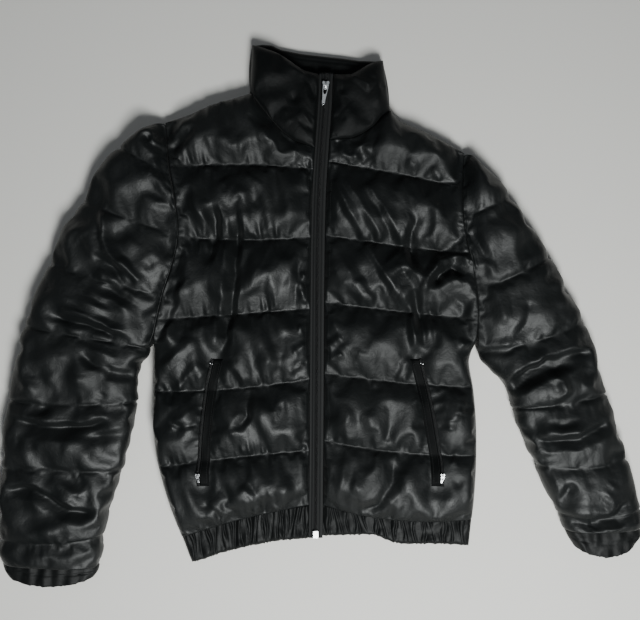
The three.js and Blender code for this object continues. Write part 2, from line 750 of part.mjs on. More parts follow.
const hemBackOutline = [
  ...plan(lowered(lastRow(frontRight)), never),
  ...plan(lowered(lastRow(frontLeft)).reverse(), never),
  ...plan(HEM_EDGE_LEFT, always),
  ...plan([...HEM_EDGE_RIGHT].reverse(), always),
];
add("hem_back", slab(hemBackOutline, 0, HEM_BACK_WALL), cloth());

// Collar: its back stands out of the back's neckline, and each front flap lies over it
const raised = (points) => points.map(([x, y]) => [x, y + SEAM_GAP]);
const collarBackOutline = [
  ...plan(
    raised([shoulderPoints(frontRight).at(-1), ...backNeck, shoulderPoints(frontLeft).at(-1)]).reverse(),
    never,
  ),
  ...plan(COLLAR_BACK_TOP, always),
];
add("collar_back", slab(collarBackOutline, 0, BACK_WALL), cloth());

function collarFlap(front, flap, folds, turn) {
  const seam = raised(firstRow(front).slice(front.neckColumn));
  const insideZ = BACK_WALL + SEAM_GAP;
  const height = (x, y, across, down) => {
    const [upper, lower] = [alongLine(flap, across), alongLine(seam, across)];
    const deep = apart(upper, lower);
    const fromZip = Math.abs(x - zipX(y) - turn * ZIP_HALF_WIDTH);
    const wide = apart(alongLine(flap, 0), alongLine(flap, 1));
    const edge = arch(down * deep, EDGE_REACH) * arch(across * wide, EDGE_REACH);
    const puff =
      arch(down * deep, COLLAR_TOP_REACH) *
      arch((1 - down) * deep, COLLAR_SEAM_REACH) *
      arch(across * wide, COLLAR_SIDE_REACH);
    const lift = liftToZip(y) * (1 - smooth(fromZip / COLLAR_SIDE_REACH));
    const crown = COLLAR_CROWN * puff * arch(fromZip, COLLAR_SIDE_REACH);
    const body = EDGE_WALL + (SEAM_WALL - EDGE_WALL) * edge + crown;
    return insideZ + Math.max(EDGE_WALL, body + lift * edge + foldRise(folds, x, y) * puff);
  };
  const grid = bandGrid({ seam: flap, edge: seam, columns: FLAP_COLUMNS, rows: FLAP_ROWS, height });
  for (const row of grid) {
    const [endX, endY] = row.at(-1);
    const step = zipX(endY) + turn * ZIP_HALF_WIDTH - endX;
    row.forEach((point, column) => {
      point[0] += step * FLAP_COLUMNS[column];
    });
  }
  return wallUnderGrid(grid, insideZ);
}
add("collar_front_right", collarFlap(frontRight, COLLAR_FLAP_RIGHT, COLLAR_FOLDS_RIGHT, -1), cloth());
add("collar_front_left", collarFlap(frontLeft, COLLAR_FLAP_LEFT, COLLAR_FOLDS_LEFT, 1), cloth());

// A sleeve or cuff: sections across it, each a flattened loop of cloth that is open at its underarm seam
function tube({ stations, rowShares, columns, baseShares, side, turn, crown, folds, quilted, gathers }) {
  const curve = (name) => {
    const points = stations.map((station) => new THREE.Vector3(...station[name], station.bow));
    return new THREE.CatmullRomCurve3(points, false, "catmullrom", 0.5);
  };
  const [outerCurve, innerCurve] = [curve("outer"), curve("inner")];
  const last = stations.length - 1;
  const slit = { bottom: BACK_WALL, top: BACK_WALL + 2 * SEAM_GAP };
  const section = (place, seamDistance) => {
    const outer = outerCurve.getPoint(place / last);
    const inner = innerCurve.getPoint(place / last);
    const joined = side && inner.y > UNDERARM_Y - 20;
    const bodyX = joined ? columnAt(side, "y", "x", inner.y) + turn * SEAM_GAP : 0;
    const innerX = joined ? turn * Math.max(turn * inner.x, turn * bodyX) : inner.x;
    const [from, to] = [[outer.x, outer.y], [innerX, inner.y]];
    const width = apart(from, to);
    const free = joined ? smooth((UNDERARM_Y + 6 - inner.y) / 18) : 1;
    const across = [(to[1] - from[1]) / width, -(to[0] - from[0]) / width];
    const downward = across[1] < 0 ? 1 : -1;
    const at = (s, z) => {
      const share = s / width;
      const bow = 4 * outer.z * share * (1 - share) * downward;
      return [mix(from[0], to[0], share) + across[0] * bow, mix(from[1], to[1], share) + across[1] * bow, z];
    };
    const round = Math.min(ROUND_REACH, width * 0.46);
    const channel = quilted ? arch(seamDistance, CHANNEL_REACH) : 1;
    const points = columns.map((share) => {
      const s = share * width;
      const [x, y] = at(s, 0);
      const edge = arch(s, EDGE_REACH) * mix(1, arch(width - s, EDGE_REACH), free);
      const roundness = arch(s, round) * arch(width - s, round);
      const fold = foldRise(folds, x, y) * roundness * channel ** 0.5;
      const fade = arch(s, GATHER_END_REACH) * arch(width - s, GATHER_END_REACH);
      const wave = gathers ? CUFF_GATHER_RISE * gatherWave(share, gathers) * fade : 0;
      const puff = crown * roundness * (0.25 + 0.75 * channel);
      const wall = EDGE_WALL + (SEAM_WALL - EDGE_WALL) * edge * roundness ** 0.3 + puff + fold + wave;
      const nearArmhole = smooth(1.5 * (1 - (width - s) / ARMHOLE_REACH)) * smooth(width / SHOULDER_REACH);
      const joinedWall = Math.max(wall, mix(SEAM_WALL, ARMHOLE_WALL, nearArmhole));
      return at(s, slit.top + Math.max(EDGE_WALL, mix(wall, joinedWall, 1 - free)));
    });
    const narrow = Math.min(1, width / 40);
    const rim = RIM.slice(0, 3);
    const loop = [...points].reverse();
    for (const { height, inset } of [...rim].reverse()) loop.push(at(inset * narrow, BACK_WALL * height));
    for (const share of baseShares) loop.push(at(width * share, 0));
    for (const { height, inset } of rim) {
      loop.push(at(width - inset * narrow * Math.max(free, 0.03), BACK_WALL * height));
    }
    loop.push(at(width, slit.bottom));
    loop.push(at(width / 2, slit.bottom), at(12 * narrow, slit.bottom));
    loop.push(at(12 * narrow, slit.top), at(width / 2, slit.top), at(width, slit.top));
    return loop;
  };
  const sections = [];
  const seamAt = (place) => outerCurve.getPoint(Math.min(last, Math.max(0, place)) / last);
  for (let channelStart = 0; channelStart < last; channelStart += 2) {
    const pitch = seamAt(channelStart).distanceTo(seamAt(channelStart + 2));
    for (const share of rowShares) {
      sections.push(section(channelStart + 2 * share, Math.min(share, 1 - share) * pitch));
    }
  }
  sections.push(section(last, 0));
  return loft(sections);
}

// A solid through sections that all have the same number of points
function loft(sections) {
  const count = sections[0].length;
  const positions = sections.flat(2);
  const index = [];
  for (let row = 0; row < sections.length - 1; row++) {
    stitchRings(index, row * count, (row + 1) * count, count);
  }
  const flattened = (section) => {
    const start = section[0];
    const farther = (far, point) => (apart(point, start) > apart(far, start) ? point : far);
    const end = section.reduce(farther, start);
    const length = apart(start, end);
    return section.map(([x, y, z]) => {
      const along = ((x - start[0]) * (end[0] - start[0]) + (y - start[1]) * (end[1] - start[1])) / length;
      return [along, z];
    });
  };
  const [first, final] = [flattened(sections[0]), flattened(sections.at(-1))];
  coverRing(index, 0, first);
  coverRing(index, positions.length / 3 - count, final);
  return facingOut(positions, index);
}

const sleeveForm = {
  rowShares: SLEEVE_ROWS,
  columns: SLEEVE_COLUMNS,
  baseShares: [0.5],
  crown: SLEEVE_CROWN,
  quilted: true,
};
add(
  "sleeve_right",
  tube({ ...sleeveForm, stations: SLEEVE_RIGHT, side: SIDE_RIGHT, turn: -1, folds: SLEEVE_FOLDS_RIGHT }),
  cloth(),
);
add(
  "sleeve_left",
  tube({ ...sleeveForm, stations: SLEEVE_LEFT, side: SIDE_LEFT, turn: 1, folds: SLEEVE_FOLDS_LEFT }),
  cloth(),
);

const cuffForm = {
  rowShares: CUFF_ROWS,
  baseShares: [0.25, 0.5, 0.75],
  columns: gatherColumns(CUFF_GATHERS),
  crown: CUFF_CROWN,
  gathers: CUFF_GATHERS,
  folds: [],
};
const cuffStations = (stations) =>
  stations.map(({ outer, inner, bow }) => ({
    outer: [outer[0], outer[1] - SEAM_GAP],
    inner: [inner[0], inner[1] - SEAM_GAP],
    bow,
  }));
add("cuff_right", tube({ ...cuffForm, stations: cuffStations(CUFF_RIGHT), turn: -1 }), cloth());
add("cuff_left", tube({ ...cuffForm, stations: cuffStations(CUFF_LEFT), turn: 1 }), cloth());

// Front zip: a tape along each front's edge, and the chain over both
function zipStrip({ from, to, rise, thickness, endY }) {
  const rows = Array.from({ length: ZIP_ROWS }, (_, i) => {
    const y = mix(ZIP_TOP_Y, endY, i / (ZIP_ROWS - 1));
    return {
      left: [zipX(y) + from, y],
      right: [zipX(y) + to, y],
      bottom: zipZ(y) + rise,
      top: zipZ(y) + rise + thickness,
    };
  });
  return ribbon(rows);
}
const tapeOuter = ZIP_HALF_WIDTH - SEAM_GAP;
const tapeForm = { rise: -TAPE_THICKNESS, thickness: TAPE_THICKNESS, endY: HEM_END_Y };
add("zip_tape_right", zipStrip({ ...tapeForm, from: -tapeOuter, to: -SEAM_GAP }), tapeCloth());
add("zip_tape_left", zipStrip({ ...tapeForm, from: SEAM_GAP, to: tapeOuter }), tapeCloth());
const chainTop = SEAM_GAP + CHAIN_THICKNESS;
const boxTopY = HEM_END_Y + BOX_SIZE.length;
const chainForm = { rise: SEAM_GAP, thickness: CHAIN_THICKNESS, endY: boxTopY + SEAM_GAP };
add("zip_chain", zipStrip({ ...chainForm, from: -CHAIN_HALF_WIDTH, to: CHAIN_HALF_WIDTH }), tapeCloth());

// A plate with rounded corners, from its centre
function roundedPlate(width, length, radius, thickness) {
  const [x, y] = [width / 2, length / 2];
  const shape = new THREE.Shape();
  shape.absarc(x - radius, y - radius, radius, 0, Math.PI / 2);
  shape.absarc(radius - x, y - radius, radius, Math.PI / 2, Math.PI);
  shape.absarc(radius - x, radius - y, radius, Math.PI, 1.5 * Math.PI);
  shape.absarc(x - radius, radius - y, radius, 1.5 * Math.PI, 2 * Math.PI);
  return new THREE.ExtrudeGeometry(shape, { depth: thickness, bevelEnabled: false, curveSegments: 3 });
}
const boxPlate = roundedPlate(BOX_SIZE.width, BOX_SIZE.length, BOX_SIZE.corner, BOX_SIZE.thickness);
const box = add("zip_box", boxPlate, metal());
box.position.set(zipX(boxTopY), (boxTopY + HEM_END_Y) / 2, zipZ(HEM_END_Y) + BOX_SIZE.rise);

// A slider: a plate that narrows away from its shoulders, and a bail that its pull swings in.
// Its local Y runs along the chain and its origin is on the plate's underside, below the pull's pivot.
const SLIDER = { width: 10, length: 12, thickness: 3, bailWidth: 2, bailSpan: 7, bailWall: 1.1 };
const PULL = {
  barReach: 1.1,
  halfWidth: 3.8,
  leg: 1.3,
  thickness: 1.2,
  eye: 13,
  length: 28,
  tipHalfWidth: 2.2,
};
const PIVOT_RISE = 1.5; // from the plate's top to the pull's pivot

function sliderGeometry(size) {
  const [half, long] = [(SLIDER.width / 2) * size, (SLIDER.length / 2) * size];
  const shape = new THREE.Shape();
  shape.moveTo(-half, long * 0.55);
  shape.lineTo(-half * 0.62, -long * 0.75);
  shape.quadraticCurveTo(-half * 0.55, -long, 0, -long);
  shape.quadraticCurveTo(half * 0.55, -long, half * 0.62, -long * 0.75);
  shape.lineTo(half, long * 0.55);
  shape.quadraticCurveTo(half, long, half * 0.55, long);
  shape.quadraticCurveTo(0, long * 0.6, -half * 0.55, long);
  shape.quadraticCurveTo(-half, long, -half, long * 0.55);
  const plate = new THREE.ExtrudeGeometry(shape, {
    depth: SLIDER.thickness * size,
    bevelEnabled: false,
    curveSegments: 4,
  });
  const { bailSpan, bailWall, bailWidth, thickness } = SLIDER;
  const [span, wall, sunk] = [(bailSpan / 2) * size, bailWall * size, 0.4 * size];
  const hollow = 2 * PIVOT_RISE * size;
  const profile = new THREE.Shape();
  profile.moveTo(-span, -sunk);
  profile.lineTo(-span, hollow * 0.5);
  profile.quadraticCurveTo(-span, hollow + wall, -span * 0.3, hollow + wall);
  profile.lineTo(span * 0.3, hollow + wall);
  profile.quadraticCurveTo(span, hollow + wall, span, hollow * 0.5);
  profile.lineTo(span, -sunk);
  profile.lineTo(span - wall, -sunk);
  profile.lineTo(span - wall, hollow * 0.5);
  profile.quadraticCurveTo(span - wall, hollow, span * 0.3, hollow);
  profile.lineTo(-span * 0.3, hollow);
  profile.quadraticCurveTo(wall - span, hollow, wall - span, hollow * 0.5);
  profile.lineTo(wall - span, -sunk);
  profile.lineTo(-span, -sunk);
  const bail = new THREE.ExtrudeGeometry(profile, {
    depth: bailWidth * size,
    bevelEnabled: false,
    curveSegments: 4,
  });
  bail.translate(0, 0, (-bailWidth * size) / 2);
  bail.applyMatrix4(new THREE.Matrix4().makeBasis(
    new THREE.Vector3(0, 1, 0),
    new THREE.Vector3(0, 0, 1),
    new THREE.Vector3(1, 0, 0),
  ));
  bail.translate(0, 0, thickness * size);
  return join(plate, bail);
}

// The pull: two legs round a long eye that hangs in the bail, then a solid tip with a small round hole.
// Its local origin is the pivot, and it runs along negative Y.
function pullGeometry(size, length) {
  const bar = PULL.barReach * size * 0.75;
  const [half, tip] = [PULL.halfWidth * size, PULL.tipHalfWidth * size];
  const leg = PULL.leg * size;
  const eye = Math.min(PULL.eye * size, length * 0.55);
  const shape = new THREE.Shape();
  shape.moveTo(-half, bar);
  shape.lineTo(-half, -eye * 0.4);
  shape.lineTo(-tip, -length * 0.72);
  shape.quadraticCurveTo(-tip * 1.2, -length, 0, -length);
  shape.quadraticCurveTo(tip * 1.2, -length, tip, -length * 0.72);
  shape.lineTo(half, -eye * 0.4);
  shape.lineTo(half, bar);
  const hole = new THREE.Path();
  hole.moveTo(leg - half, -bar);
  hole.lineTo(half - leg, -bar);
  hole.lineTo(half - leg, -eye * 0.5);
  hole.quadraticCurveTo(half - leg, -eye, 0, -eye);
  hole.quadraticCurveTo(leg - half, -eye, leg - half, -eye * 0.5);
  shape.holes.push(hole);
  if (size === 1) {
    const ring = new THREE.Path();
    ring.absarc(0, -length + 2.4, 1.1, 0, 2 * Math.PI, true);
    shape.holes.push(ring);
  }
  const geometry = new THREE.ExtrudeGeometry(shape, {
    depth: PULL.thickness * size,
    bevelEnabled: false,
    curveSegments: 4,
  });
  return geometry.translate(0, 0, (-PULL.thickness * size) / 2);
}

// A slider on its chain and the pull that lies down from it, turned in the plane by a small angle
function addSlider({ name, pullName, place, size, pullLength, turn, droop }) {
  const slider = new THREE.Group();
  slider.position.set(...place);
  jacket.add(slider);
  add(name, sliderGeometry(size), metal(), slider);
  const pull = new THREE.Group();
  pull.position.set(0, 0, (SLIDER.thickness + PIVOT_RISE) * size);
  pull.rotation.set(0, 0, turn);
  slider.add(pull);
  const tab = add(pullName, pullGeometry(size, pullLength), metal(), pull);
  tab.rotation.x = droop;
}
addSlider({
  name: "zip_slider",
  pullName: "zip_pull",
  place: [zipX(SLIDER_Y), SLIDER_Y, zipZ(SLIDER_Y) + chainTop + SEAM_GAP],
  size: 1,
  pullLength: PULL.length,
  turn: THREE.MathUtils.degToRad(SLIDER_TURN),
  droop: THREE.MathUtils.degToRad(PULL_DROOP),
});

// The height of a front's surface at a place
function heightOn(grid, x, y) {
  const triangle = new THREE.Triangle();
  const [point, weights] = [new THREE.Vector3(x, y, 0), new THREE.Vector3()];
  for (let row = 0; row < grid.length - 1; row++) {
    for (let column = 0; column < grid[0].length - 1; column++) {
      const [a, b] = [grid[row][column], grid[row][column + 1]];
      const [c, d] = [grid[row + 1][column + 1], grid[row + 1][column]];
      for (const corners of [[a, d, c], [a, c, b]]) {
        triangle.set(...corners.map(([cx, cy]) => new THREE.Vector3(cx, cy, 0)));
        if (!triangle.getBarycoord(point, weights)) continue;
        if (Math.min(weights.x, weights.y, weights.z) < -1e-6) continue;
        return weights.x * corners[0][2] + weights.y * corners[1][2] + weights.z * corners[2][2];
      }
    }
  }
  return 0;
}

// A hand pocket on its front: the zip's chain along the opening, and the welt on its side towards the zip
function addPocket(name, front, line, turn) {
  const weltReach = -turn * WELT_WIDTH;
  const centre = Array.from({ length: POCKET_ROWS }, (_, i) => alongLine(line, i / (POCKET_ROWS - 1)));
  const rests = centre.map(([x, y]) => {
    let highest = 0;
    for (let across = -3; across <= WELT_WIDTH; across += 2.25) {
      for (let down = -8; down <= 8; down += 4) {
        highest = Math.max(highest, heightOn(front.grid, x - turn * across, y + down));
      }
    }
    return highest + SEAM_GAP;
  });
  const sliderRows = rests.slice(-3);
  rests.splice(-3, 3, ...sliderRows.map(() => Math.max(...sliderRows)));
  const strip = (from, to) =>
    centre.map(([x, y], i) => {
      const [left, right] = [x + Math.min(from, to), x + Math.max(from, to)];
      return { left: [left, y], right: [right, y], bottom: rests[i], top: rests[i] + WELT_THICKNESS };
    });
  const half = POCKET_CHAIN_WIDTH / 2;
  const weltFrom = -turn * (half + SEAM_GAP);
  add("pocket_welt_" + name, ribbon(strip(weltFrom, weltReach)), cloth());
  add("pocket_chain_" + name, ribbon(strip(-half, half)), tapeCloth());
  const [x, y] = centre.at(-2);
  addSlider({
    name: "pocket_slider_" + name,
    pullName: "pocket_pull_" + name,
    place: [x, y, rests.at(-2) + WELT_THICKNESS + SEAM_GAP],
    size: POCKET_SLIDER_SIZE,
    pullLength: POCKET_PULL_LENGTH,
    turn: THREE.MathUtils.degToRad(-turn * POCKET_PULL_TURN),
    droop: 0,
  });
}
addPocket("right", frontRight, POCKET_RIGHT, -1);
addPocket("left", frontLeft, POCKET_LEFT, 1);

// The origin goes to the middle of the part's base
const bounds = new THREE.Box3().setFromObject(jacket);
const middle = bounds.getCenter(new THREE.Vector3());
jacket.position.set(-middle.x, -middle.y, -bounds.min.z);

export default jacket;
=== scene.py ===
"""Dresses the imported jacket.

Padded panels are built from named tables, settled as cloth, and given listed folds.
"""
import math

import bmesh
import bpy
import numpy as np
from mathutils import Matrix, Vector
from mathutils.bvhtree import BVHTree


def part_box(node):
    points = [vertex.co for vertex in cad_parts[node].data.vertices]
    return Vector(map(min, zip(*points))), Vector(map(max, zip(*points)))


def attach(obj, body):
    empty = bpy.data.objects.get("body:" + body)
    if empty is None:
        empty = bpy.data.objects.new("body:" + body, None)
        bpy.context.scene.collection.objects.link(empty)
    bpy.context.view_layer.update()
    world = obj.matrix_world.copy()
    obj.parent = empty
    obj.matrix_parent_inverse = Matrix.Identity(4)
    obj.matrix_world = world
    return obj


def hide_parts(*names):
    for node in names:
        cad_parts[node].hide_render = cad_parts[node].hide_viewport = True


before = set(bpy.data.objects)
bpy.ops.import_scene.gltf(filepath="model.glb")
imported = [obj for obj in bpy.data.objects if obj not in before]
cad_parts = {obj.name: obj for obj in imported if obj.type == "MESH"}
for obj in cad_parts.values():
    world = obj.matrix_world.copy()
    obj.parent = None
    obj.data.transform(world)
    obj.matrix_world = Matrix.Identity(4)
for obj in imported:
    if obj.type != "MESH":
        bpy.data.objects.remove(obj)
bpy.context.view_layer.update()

# Driving dimensions, in millimetres of the drawing, whose origin lies SHIFT away from the part's own
SHIFT = np.array([2.084564, -0.599152, 0.0])
UP = np.array([0.0, 0.0, 1.0])
SEAM_GAP = 0.3
BACK_WALL = 14.0
HEM_BACK_WALL = 8.0
EDGE_WALL = 3.0
SEAM_WALL = 12.0
FRONT_CROWN = 17.0
SLEEVE_CROWN = 23.0
COLLAR_CROWN = 13.0
CUFF_CROWN = 8.0
EDGE_REACH = 14.0
ACROSS_REACH = 46.0
FLAP_REACH = 40.0
ROUND_REACH = 60.0
CHANNEL_REACH = 40.0  # of a sleeve's channel, from its quilted line
UPPER_REACH = 46.0  # a front's channel rises from the seam above it
LOWER_REACH = 36.0  # and runs down as a plane to the seam below it
ARMHOLE_LOW = 4.0
ARMHOLE_RISE = 25.0
ARMHOLE_REACH = 18.0
SHOULDER_REACH = 80.0
UNDERARM_Y = -43.0
NECK_X_RIGHT = -100.0
NECK_X_LEFT = 97.0
NECK_SAG = 8.0
SIDE_BULGE = 3.0  # of a sleeve's channels, in plan
SLEEVE_GROOVE = 2.5  # how far a base is drawn up at its quilted lines
BACK_GROOVE = 2.6
GROOVE_REACH = 5.0
LOWEST_SLEEVE_TOP = 16.0
THINNEST_FRONT = 2.6
THINNEST_FLAP = 2.5
THINNEST_HEM = 2.0

# Hem, cuffs and collar
HEM_DEPTH = 42.0
HEM_FRONT_WIDTH = 200.0
HEM_BACK_WIDTH = 400.0
HEM_GATHERS = 24
HEM_GATHER_RISE = 3.2
HEM_GATHER_SWAY = 1.4  # in plan, along the jacket
CUFF_GATHERS = 11
CUFF_GATHER_RISE = 0.15
CUFF_GATHER_SWAY = 0.8
CUFF_STITCH_SHARE = 0.42  # of a cuff's depth
CUFF_LIP = 4.0
MOUTH_RINGS = ((0.5, -1.0), (1.0, 2.0), (1.0, 10.0))  # share of the lip, and depth into the cuff
COLLAR_BACK_WIDTH = 190.0
COLLAR_BACK_EDGE = 5.0
COLLAR_BACK_RISE = 9.0
COLLAR_STITCH_DEPTH = 9.0  # from the collar's top edge

# Folds, puckers and cloth
LIP_WIDTH = 4.2  # of a lapped fold's steep side
FOLD_SHARE = 0.95
FOLD_REACH = 2.0  # a fold's plane sides reach this many of its widths
FOLD_WOBBLE = 0.8
PUCKER_RISE = 2.2
PUCKER_SIZE = 13.0
FRONT_HUMPS = 1.8
SLEEVE_HUMPS = 2.0
RIPPLE_WAVES = 7
SETTLE_FRAMES = 16

# Zips, pockets and sewing
ZIP_HALF_WIDTH = 10.0
ABOVE_TEETH = 2.0  # the fronts' edges stand this much higher than the front zip
TAPE_ENDS = (334.9, -315.9)
CHAIN_ENDS = (334.0, -305.0)
WELT_WIDTH = 15.0
BAND_START = 2.3  # beside the middle of the pocket's zip
POCKET_LENGTH = 178.0
POCKET_PRESS_WIDTH = 16.0
SLIDER_SHARE = 0.917  # of a pocket's length, from its top to its slider
SLIDER_REACH = 17.0
SLIDER_ABOVE_CLOTH = 2.9
SLIDER_ABOVE_CHAIN = 2.2
STOP_PLACES = np.array([[-1.5, 0.5, 1.9], [1.5, -0.5, 1.9]])
STOP_HALF = np.array([1.5, 0.8, 0.8])
BAND_ABOVE_CLOTH = 0.3
BAND_THICKNESS = 1.2
STITCH_PITCH = 3.4
STITCH_HALF = np.array([1.25, 0.24, 0.24])
TOOTH_PITCH = 1.7
LOOK_AHEAD = 0.6  # along a line, for its direction
SHARP_ANGLE = 0.6
FLAT_ANGLE = 0.02

# Grids of points
GRID_STEP = 3.2
SLEEVE_STEP = 3.8
SLEEVE_COLUMNS = 46
CUFF_STEP = 1.5
CUFF_COLUMNS = 9 * CUFF_GATHERS
BASE_COLUMNS = 7
CHANNEL_ROWS = [22, 32, 32, 32, 32, 28]  # in each channel of the body, from the shoulder down
HEM_BACK_GRID = (16 * HEM_GATHERS + 1, 19)  # columns and rows
HEM_FRONT_GRID = (10 * HEM_GATHERS + 1, 27)
COLLAR_BACK_GRID = (91, 46)
FLAP_GRID = (40, 46)
TAPE_ROWS = 240
CHAIN_POINTS = 260
POCKET_POINTS = 61
BAND_COLUMNS = 9

# The front zip, down from the neck: y and x of its middle, then y and z
ZIP_LINE = [
    (350, 7), (284, 4), (228, 0), (158, -4), (46, -6), (-122, -7), (-262, -8), (-330, -9),
]
ZIP_HEIGHT = [
    (350, 30), (228, 28), (120, 25), (-80, 24), (-240, 22), (-330, 19),
]

# Each side of the body from the shoulder's tip to the hem: y and x
SIDE_RIGHT = [
    (267, -220), (203, -211), (158, -203), (106, -199), (60, -209), (18, -222), (-43, -234),
    (-108, -237), (-150, -237), (-199, -233), (-234, -225), (-276, -212), (-314, -197),
]
SIDE_LEFT = [
    (224, 200), (193, 197), (151, 195), (106, 199), (72, 207), (28, 215), (-10, 216), (-43, 213),
    (-66, 207), (-80, 208), (-108, 213), (-157, 217), (-213, 217), (-262, 214), (-288, 211),
]

# Each shoulder and neck from the tip to the zip: x and y
TOP_RIGHT = [
    (-220, 267), (-185, 279), (-157, 292), (-129, 300), (-100, 309), (-87, 291), (-73, 273), (-55, 253),
    (-38, 240), (-10, 230),
]
TOP_LEFT = [
    (200, 224), (179, 237), (144, 255), (112, 268), (97, 283), (85, 276), (73, 262), (58, 251),
    (42, 244), (10, 241),
]

# The quilt lines of each front, down to the hem's seam: y at the side, in the middle and at the zip
SEAMS_RIGHT = [
    (203, 207, 200), (106, 102, 106), (-9, -2, 6), (-109, -106, -92), (-216, -202, -192),
    (-314, -287, -269),
]
SEAMS_LEFT = [
    (175, 195, 211), (83, 94, 109), (-9, 2, 15), (-104, -97, -84), (-199, -195, -178),
    (-288, -290, -269),
]

# Down each sleeve and cuff: x and y of its outer edge and of its inner one, and how far the line bows
SLEEVE_RIGHT = [
    (-222, 267, -219.6, 262, 0), (-258, 251, -216, 228, 0), (-283, 230, -211, 192, 0),
    (-311, 200, -203, 151, 0), (-336, 155, -199, 106, 0), (-360, 116, -209, 62, 2),
    (-381, 69, -221, 24, 3), (-402, 24, -229, -16, 2), (-417, -18, -241, -49, 0),
    (-428, -69, -259, -83, 0), (-438, -122, -261, -125, 3), (-444, -167, -269, -165, 4),
    (-449, -217, -281, -220, 0), (-452, -266, -297, -265, 5), (-452, -315, -308, -312, 5),
    (-451, -333, -311, -334, 3), (-448, -350, -314, -356, 0),
]
SLEEVE_LEFT = [
    (202, 223.5, 199.8, 219, 0), (235, 195, 196, 169, 0), (265, 161, 195, 131, 0), (293, 119, 203, 90, 0),
    (319, 78, 214, 32, 3), (344, 32, 216, -10, 4), (367, -13, 221, -57, 4), (386, -66, 254, -96, 4),
    (398, -113, 269, -133, 3), (413, -160, 284, -174, 6), (427, -204, 301, -213, 6),
    (437, -244, 318, -252, 8), (446, -272, 332, -279, 10), (448, -287, 338, -292, 8),
    (447, -301, 343, -305, 0),
]
CUFF_RIGHT = [
    (-448, -350, -314, -356, 0), (-446, -358, -316, -363, 5), (-439, -369, -321, -370, 10),
]
CUFF_LEFT = [
    (447, -301, 343, -305, 0), (448, -310, 347, -314, 11), (440, -323, 356, -328, 13),
]

# Edges of the collar and the hem, and the pockets' zips from the top down: x and y
COLLAR_BACK_TOP = [
    (-99, 379), (-84, 381), (-71, 380), (-59, 374), (-31, 368), (4, 364), (32, 361), (53, 358), (86, 357),
]
COLLAR_FLAP_RIGHT = [
    (-98, 377), (-84, 373), (-66, 366), (-45, 354), (-24, 341), (-4, 335),
]
COLLAR_FLAP_LEFT = [
    (86, 355), (74, 353), (63, 348), (53, 342), (42, 336), (17, 335),
]
HEM_EDGE_RIGHT = [
    (-183, -351), (-171, -349), (-143, -339), (-108, -330), (-59, -321), (-19, -318),
]
HEM_EDGE_LEFT = [
    (207, -328), (165, -326), (112, -326), (98, -323), (74, -313), (1, -314),
]
POCKET_RIGHT = [
    (-152, -64), (-161, -101), (-165, -136), (-169, -178), (-172, -220), (-171, -240),
]
POCKET_LEFT = [
    (137, -64), (147, -101), (154, -136), (160, -171), (166, -203), (167, -240),
]

# Folds, listed one by one: path, width and rise, and for a lapped one the way that its steep side faces
FRONT_FOLDS_RIGHT = [
    ([(-126, -161), (-115, -181), (-106, -200)], 5, 5, (-1, -0.3)),
    ([(-140, 186), (-127, 169), (-115, 154)], 8, 6),
    ([(-90, 186), (-102, 169), (-115, 154)], 8, 6),
    ([(-115, 158), (-115, 137), (-118, 111)], 8, 6),
    ([(-185, 167), (-175, 148), (-162, 127), (-151, 109)], 7, 6, (-1, -0.6)),
    ([(-151, 153), (-146, 127), (-148, 102), (-160, 66)], 5, -12, (1, 0.4)),
    ([(-134, 118), (-136, 63), (-139, 18), (-144, -27)], 9, 9),
    ([(-116, 150), (-118, 105), (-120, 53), (-124, 18), (-131, -24), (-139, -62)], 4.5, -13, (0.3, 1)),
    ([(-29, 172), (-48, 141), (-70, 98), (-92, 53), (-106, 7)], 10, 6),
    ([(-49, 81), (-70, 52), (-81, 18)], 9, 6),
    ([(-24, 88), (-34, 49), (-38, 11), (-42, -29)], 5, -6),
    ([(-22, 80), (-25, 53), (-34, 32)], 6, 4),
    ([(-84, 151), (-94, 123), (-101, 102)], 9, 4),
    ([(-139, -56), (-125, -62), (-115, -84), (-102, -102)], 7, 6, (-1, -0.7)),
    ([(-50, -21), (-53, -55), (-71, -91)], 9, -5),
    ([(-101, -105), (-101, -125), (-104, -144), (-118, -164)], 4, -9, (1, -0.3)),
    ([(-84, -115), (-84, -150), (-76, -192)], 9, 5),
    ([(-63, -42), (-81, -83), (-92, -102)], 8, 5),
    ([(-111, -234), (-99, -251), (-83, -280)], 7, 6, (1, 0.3)),
    ([(-76, -242), (-67, -262), (-64, -281)], 6, 4),
    ([(-188, 52), (-200, 4), (-221, -48)], 6, 10, (-1, 0)),
    ([(-175, -35), (-197, -55), (-227, -80)], 5, 6),
    ([(-169, -67), (-190, -94), (-204, -116)], 5, 6),
    ([(-154, -71), (-174, -94), (-185, -122)], 6, 3),
    ([(-217, -165), (-199, -148), (-171, -129)], 5, 6, (0.4, -1)),
    ([(-213, -151), (-192, -157), (-171, -153)], 3, -4),
    ([(-164, -262), (-148, -276), (-136, -286)], 4, -4),
    ([(-192, 88), (-199, 71), (-216, 53)], 7, -6),
    ([(-202, 63), (-190, 52), (-182, 43)], 6, 4),
    ([(-164, 256), (-157, 239), (-151, 214)], 6, 4),
    ([(-84, 259), (-76, 242), (-70, 214)], 7, 4),
    ([(-136, 253), (-126, 234), (-101, 228)], 10, 4),
    ([(-176, 259), (-190, 239), (-210, 225)], 4, -5),
    ([(-188, 265), (-204, 248), (-220, 228)], 4, 5),
    ([(-31, 207), (-18, 186)], 4, 4),
    ([(-39, 217), (-22, 200), (-13, 178)], 4, -3),
    ([(-31, 35), (-20, 13)], 3, 4),
    ([(-28, 57), (-17, 43)], 3, 4),
    ([(-34, -24), (-17, -13)], 3, 4),
    ([(-42, -55), (-20, -43)], 4, 4),
    ([(-45, -83), (-22, -69)], 4, 4),
    ([(-94, -206), (-101, -231), (-115, -248)], 7, 4),
    ([(-42, -220), (-53, -248), (-50, -273)], 6, 4),
]
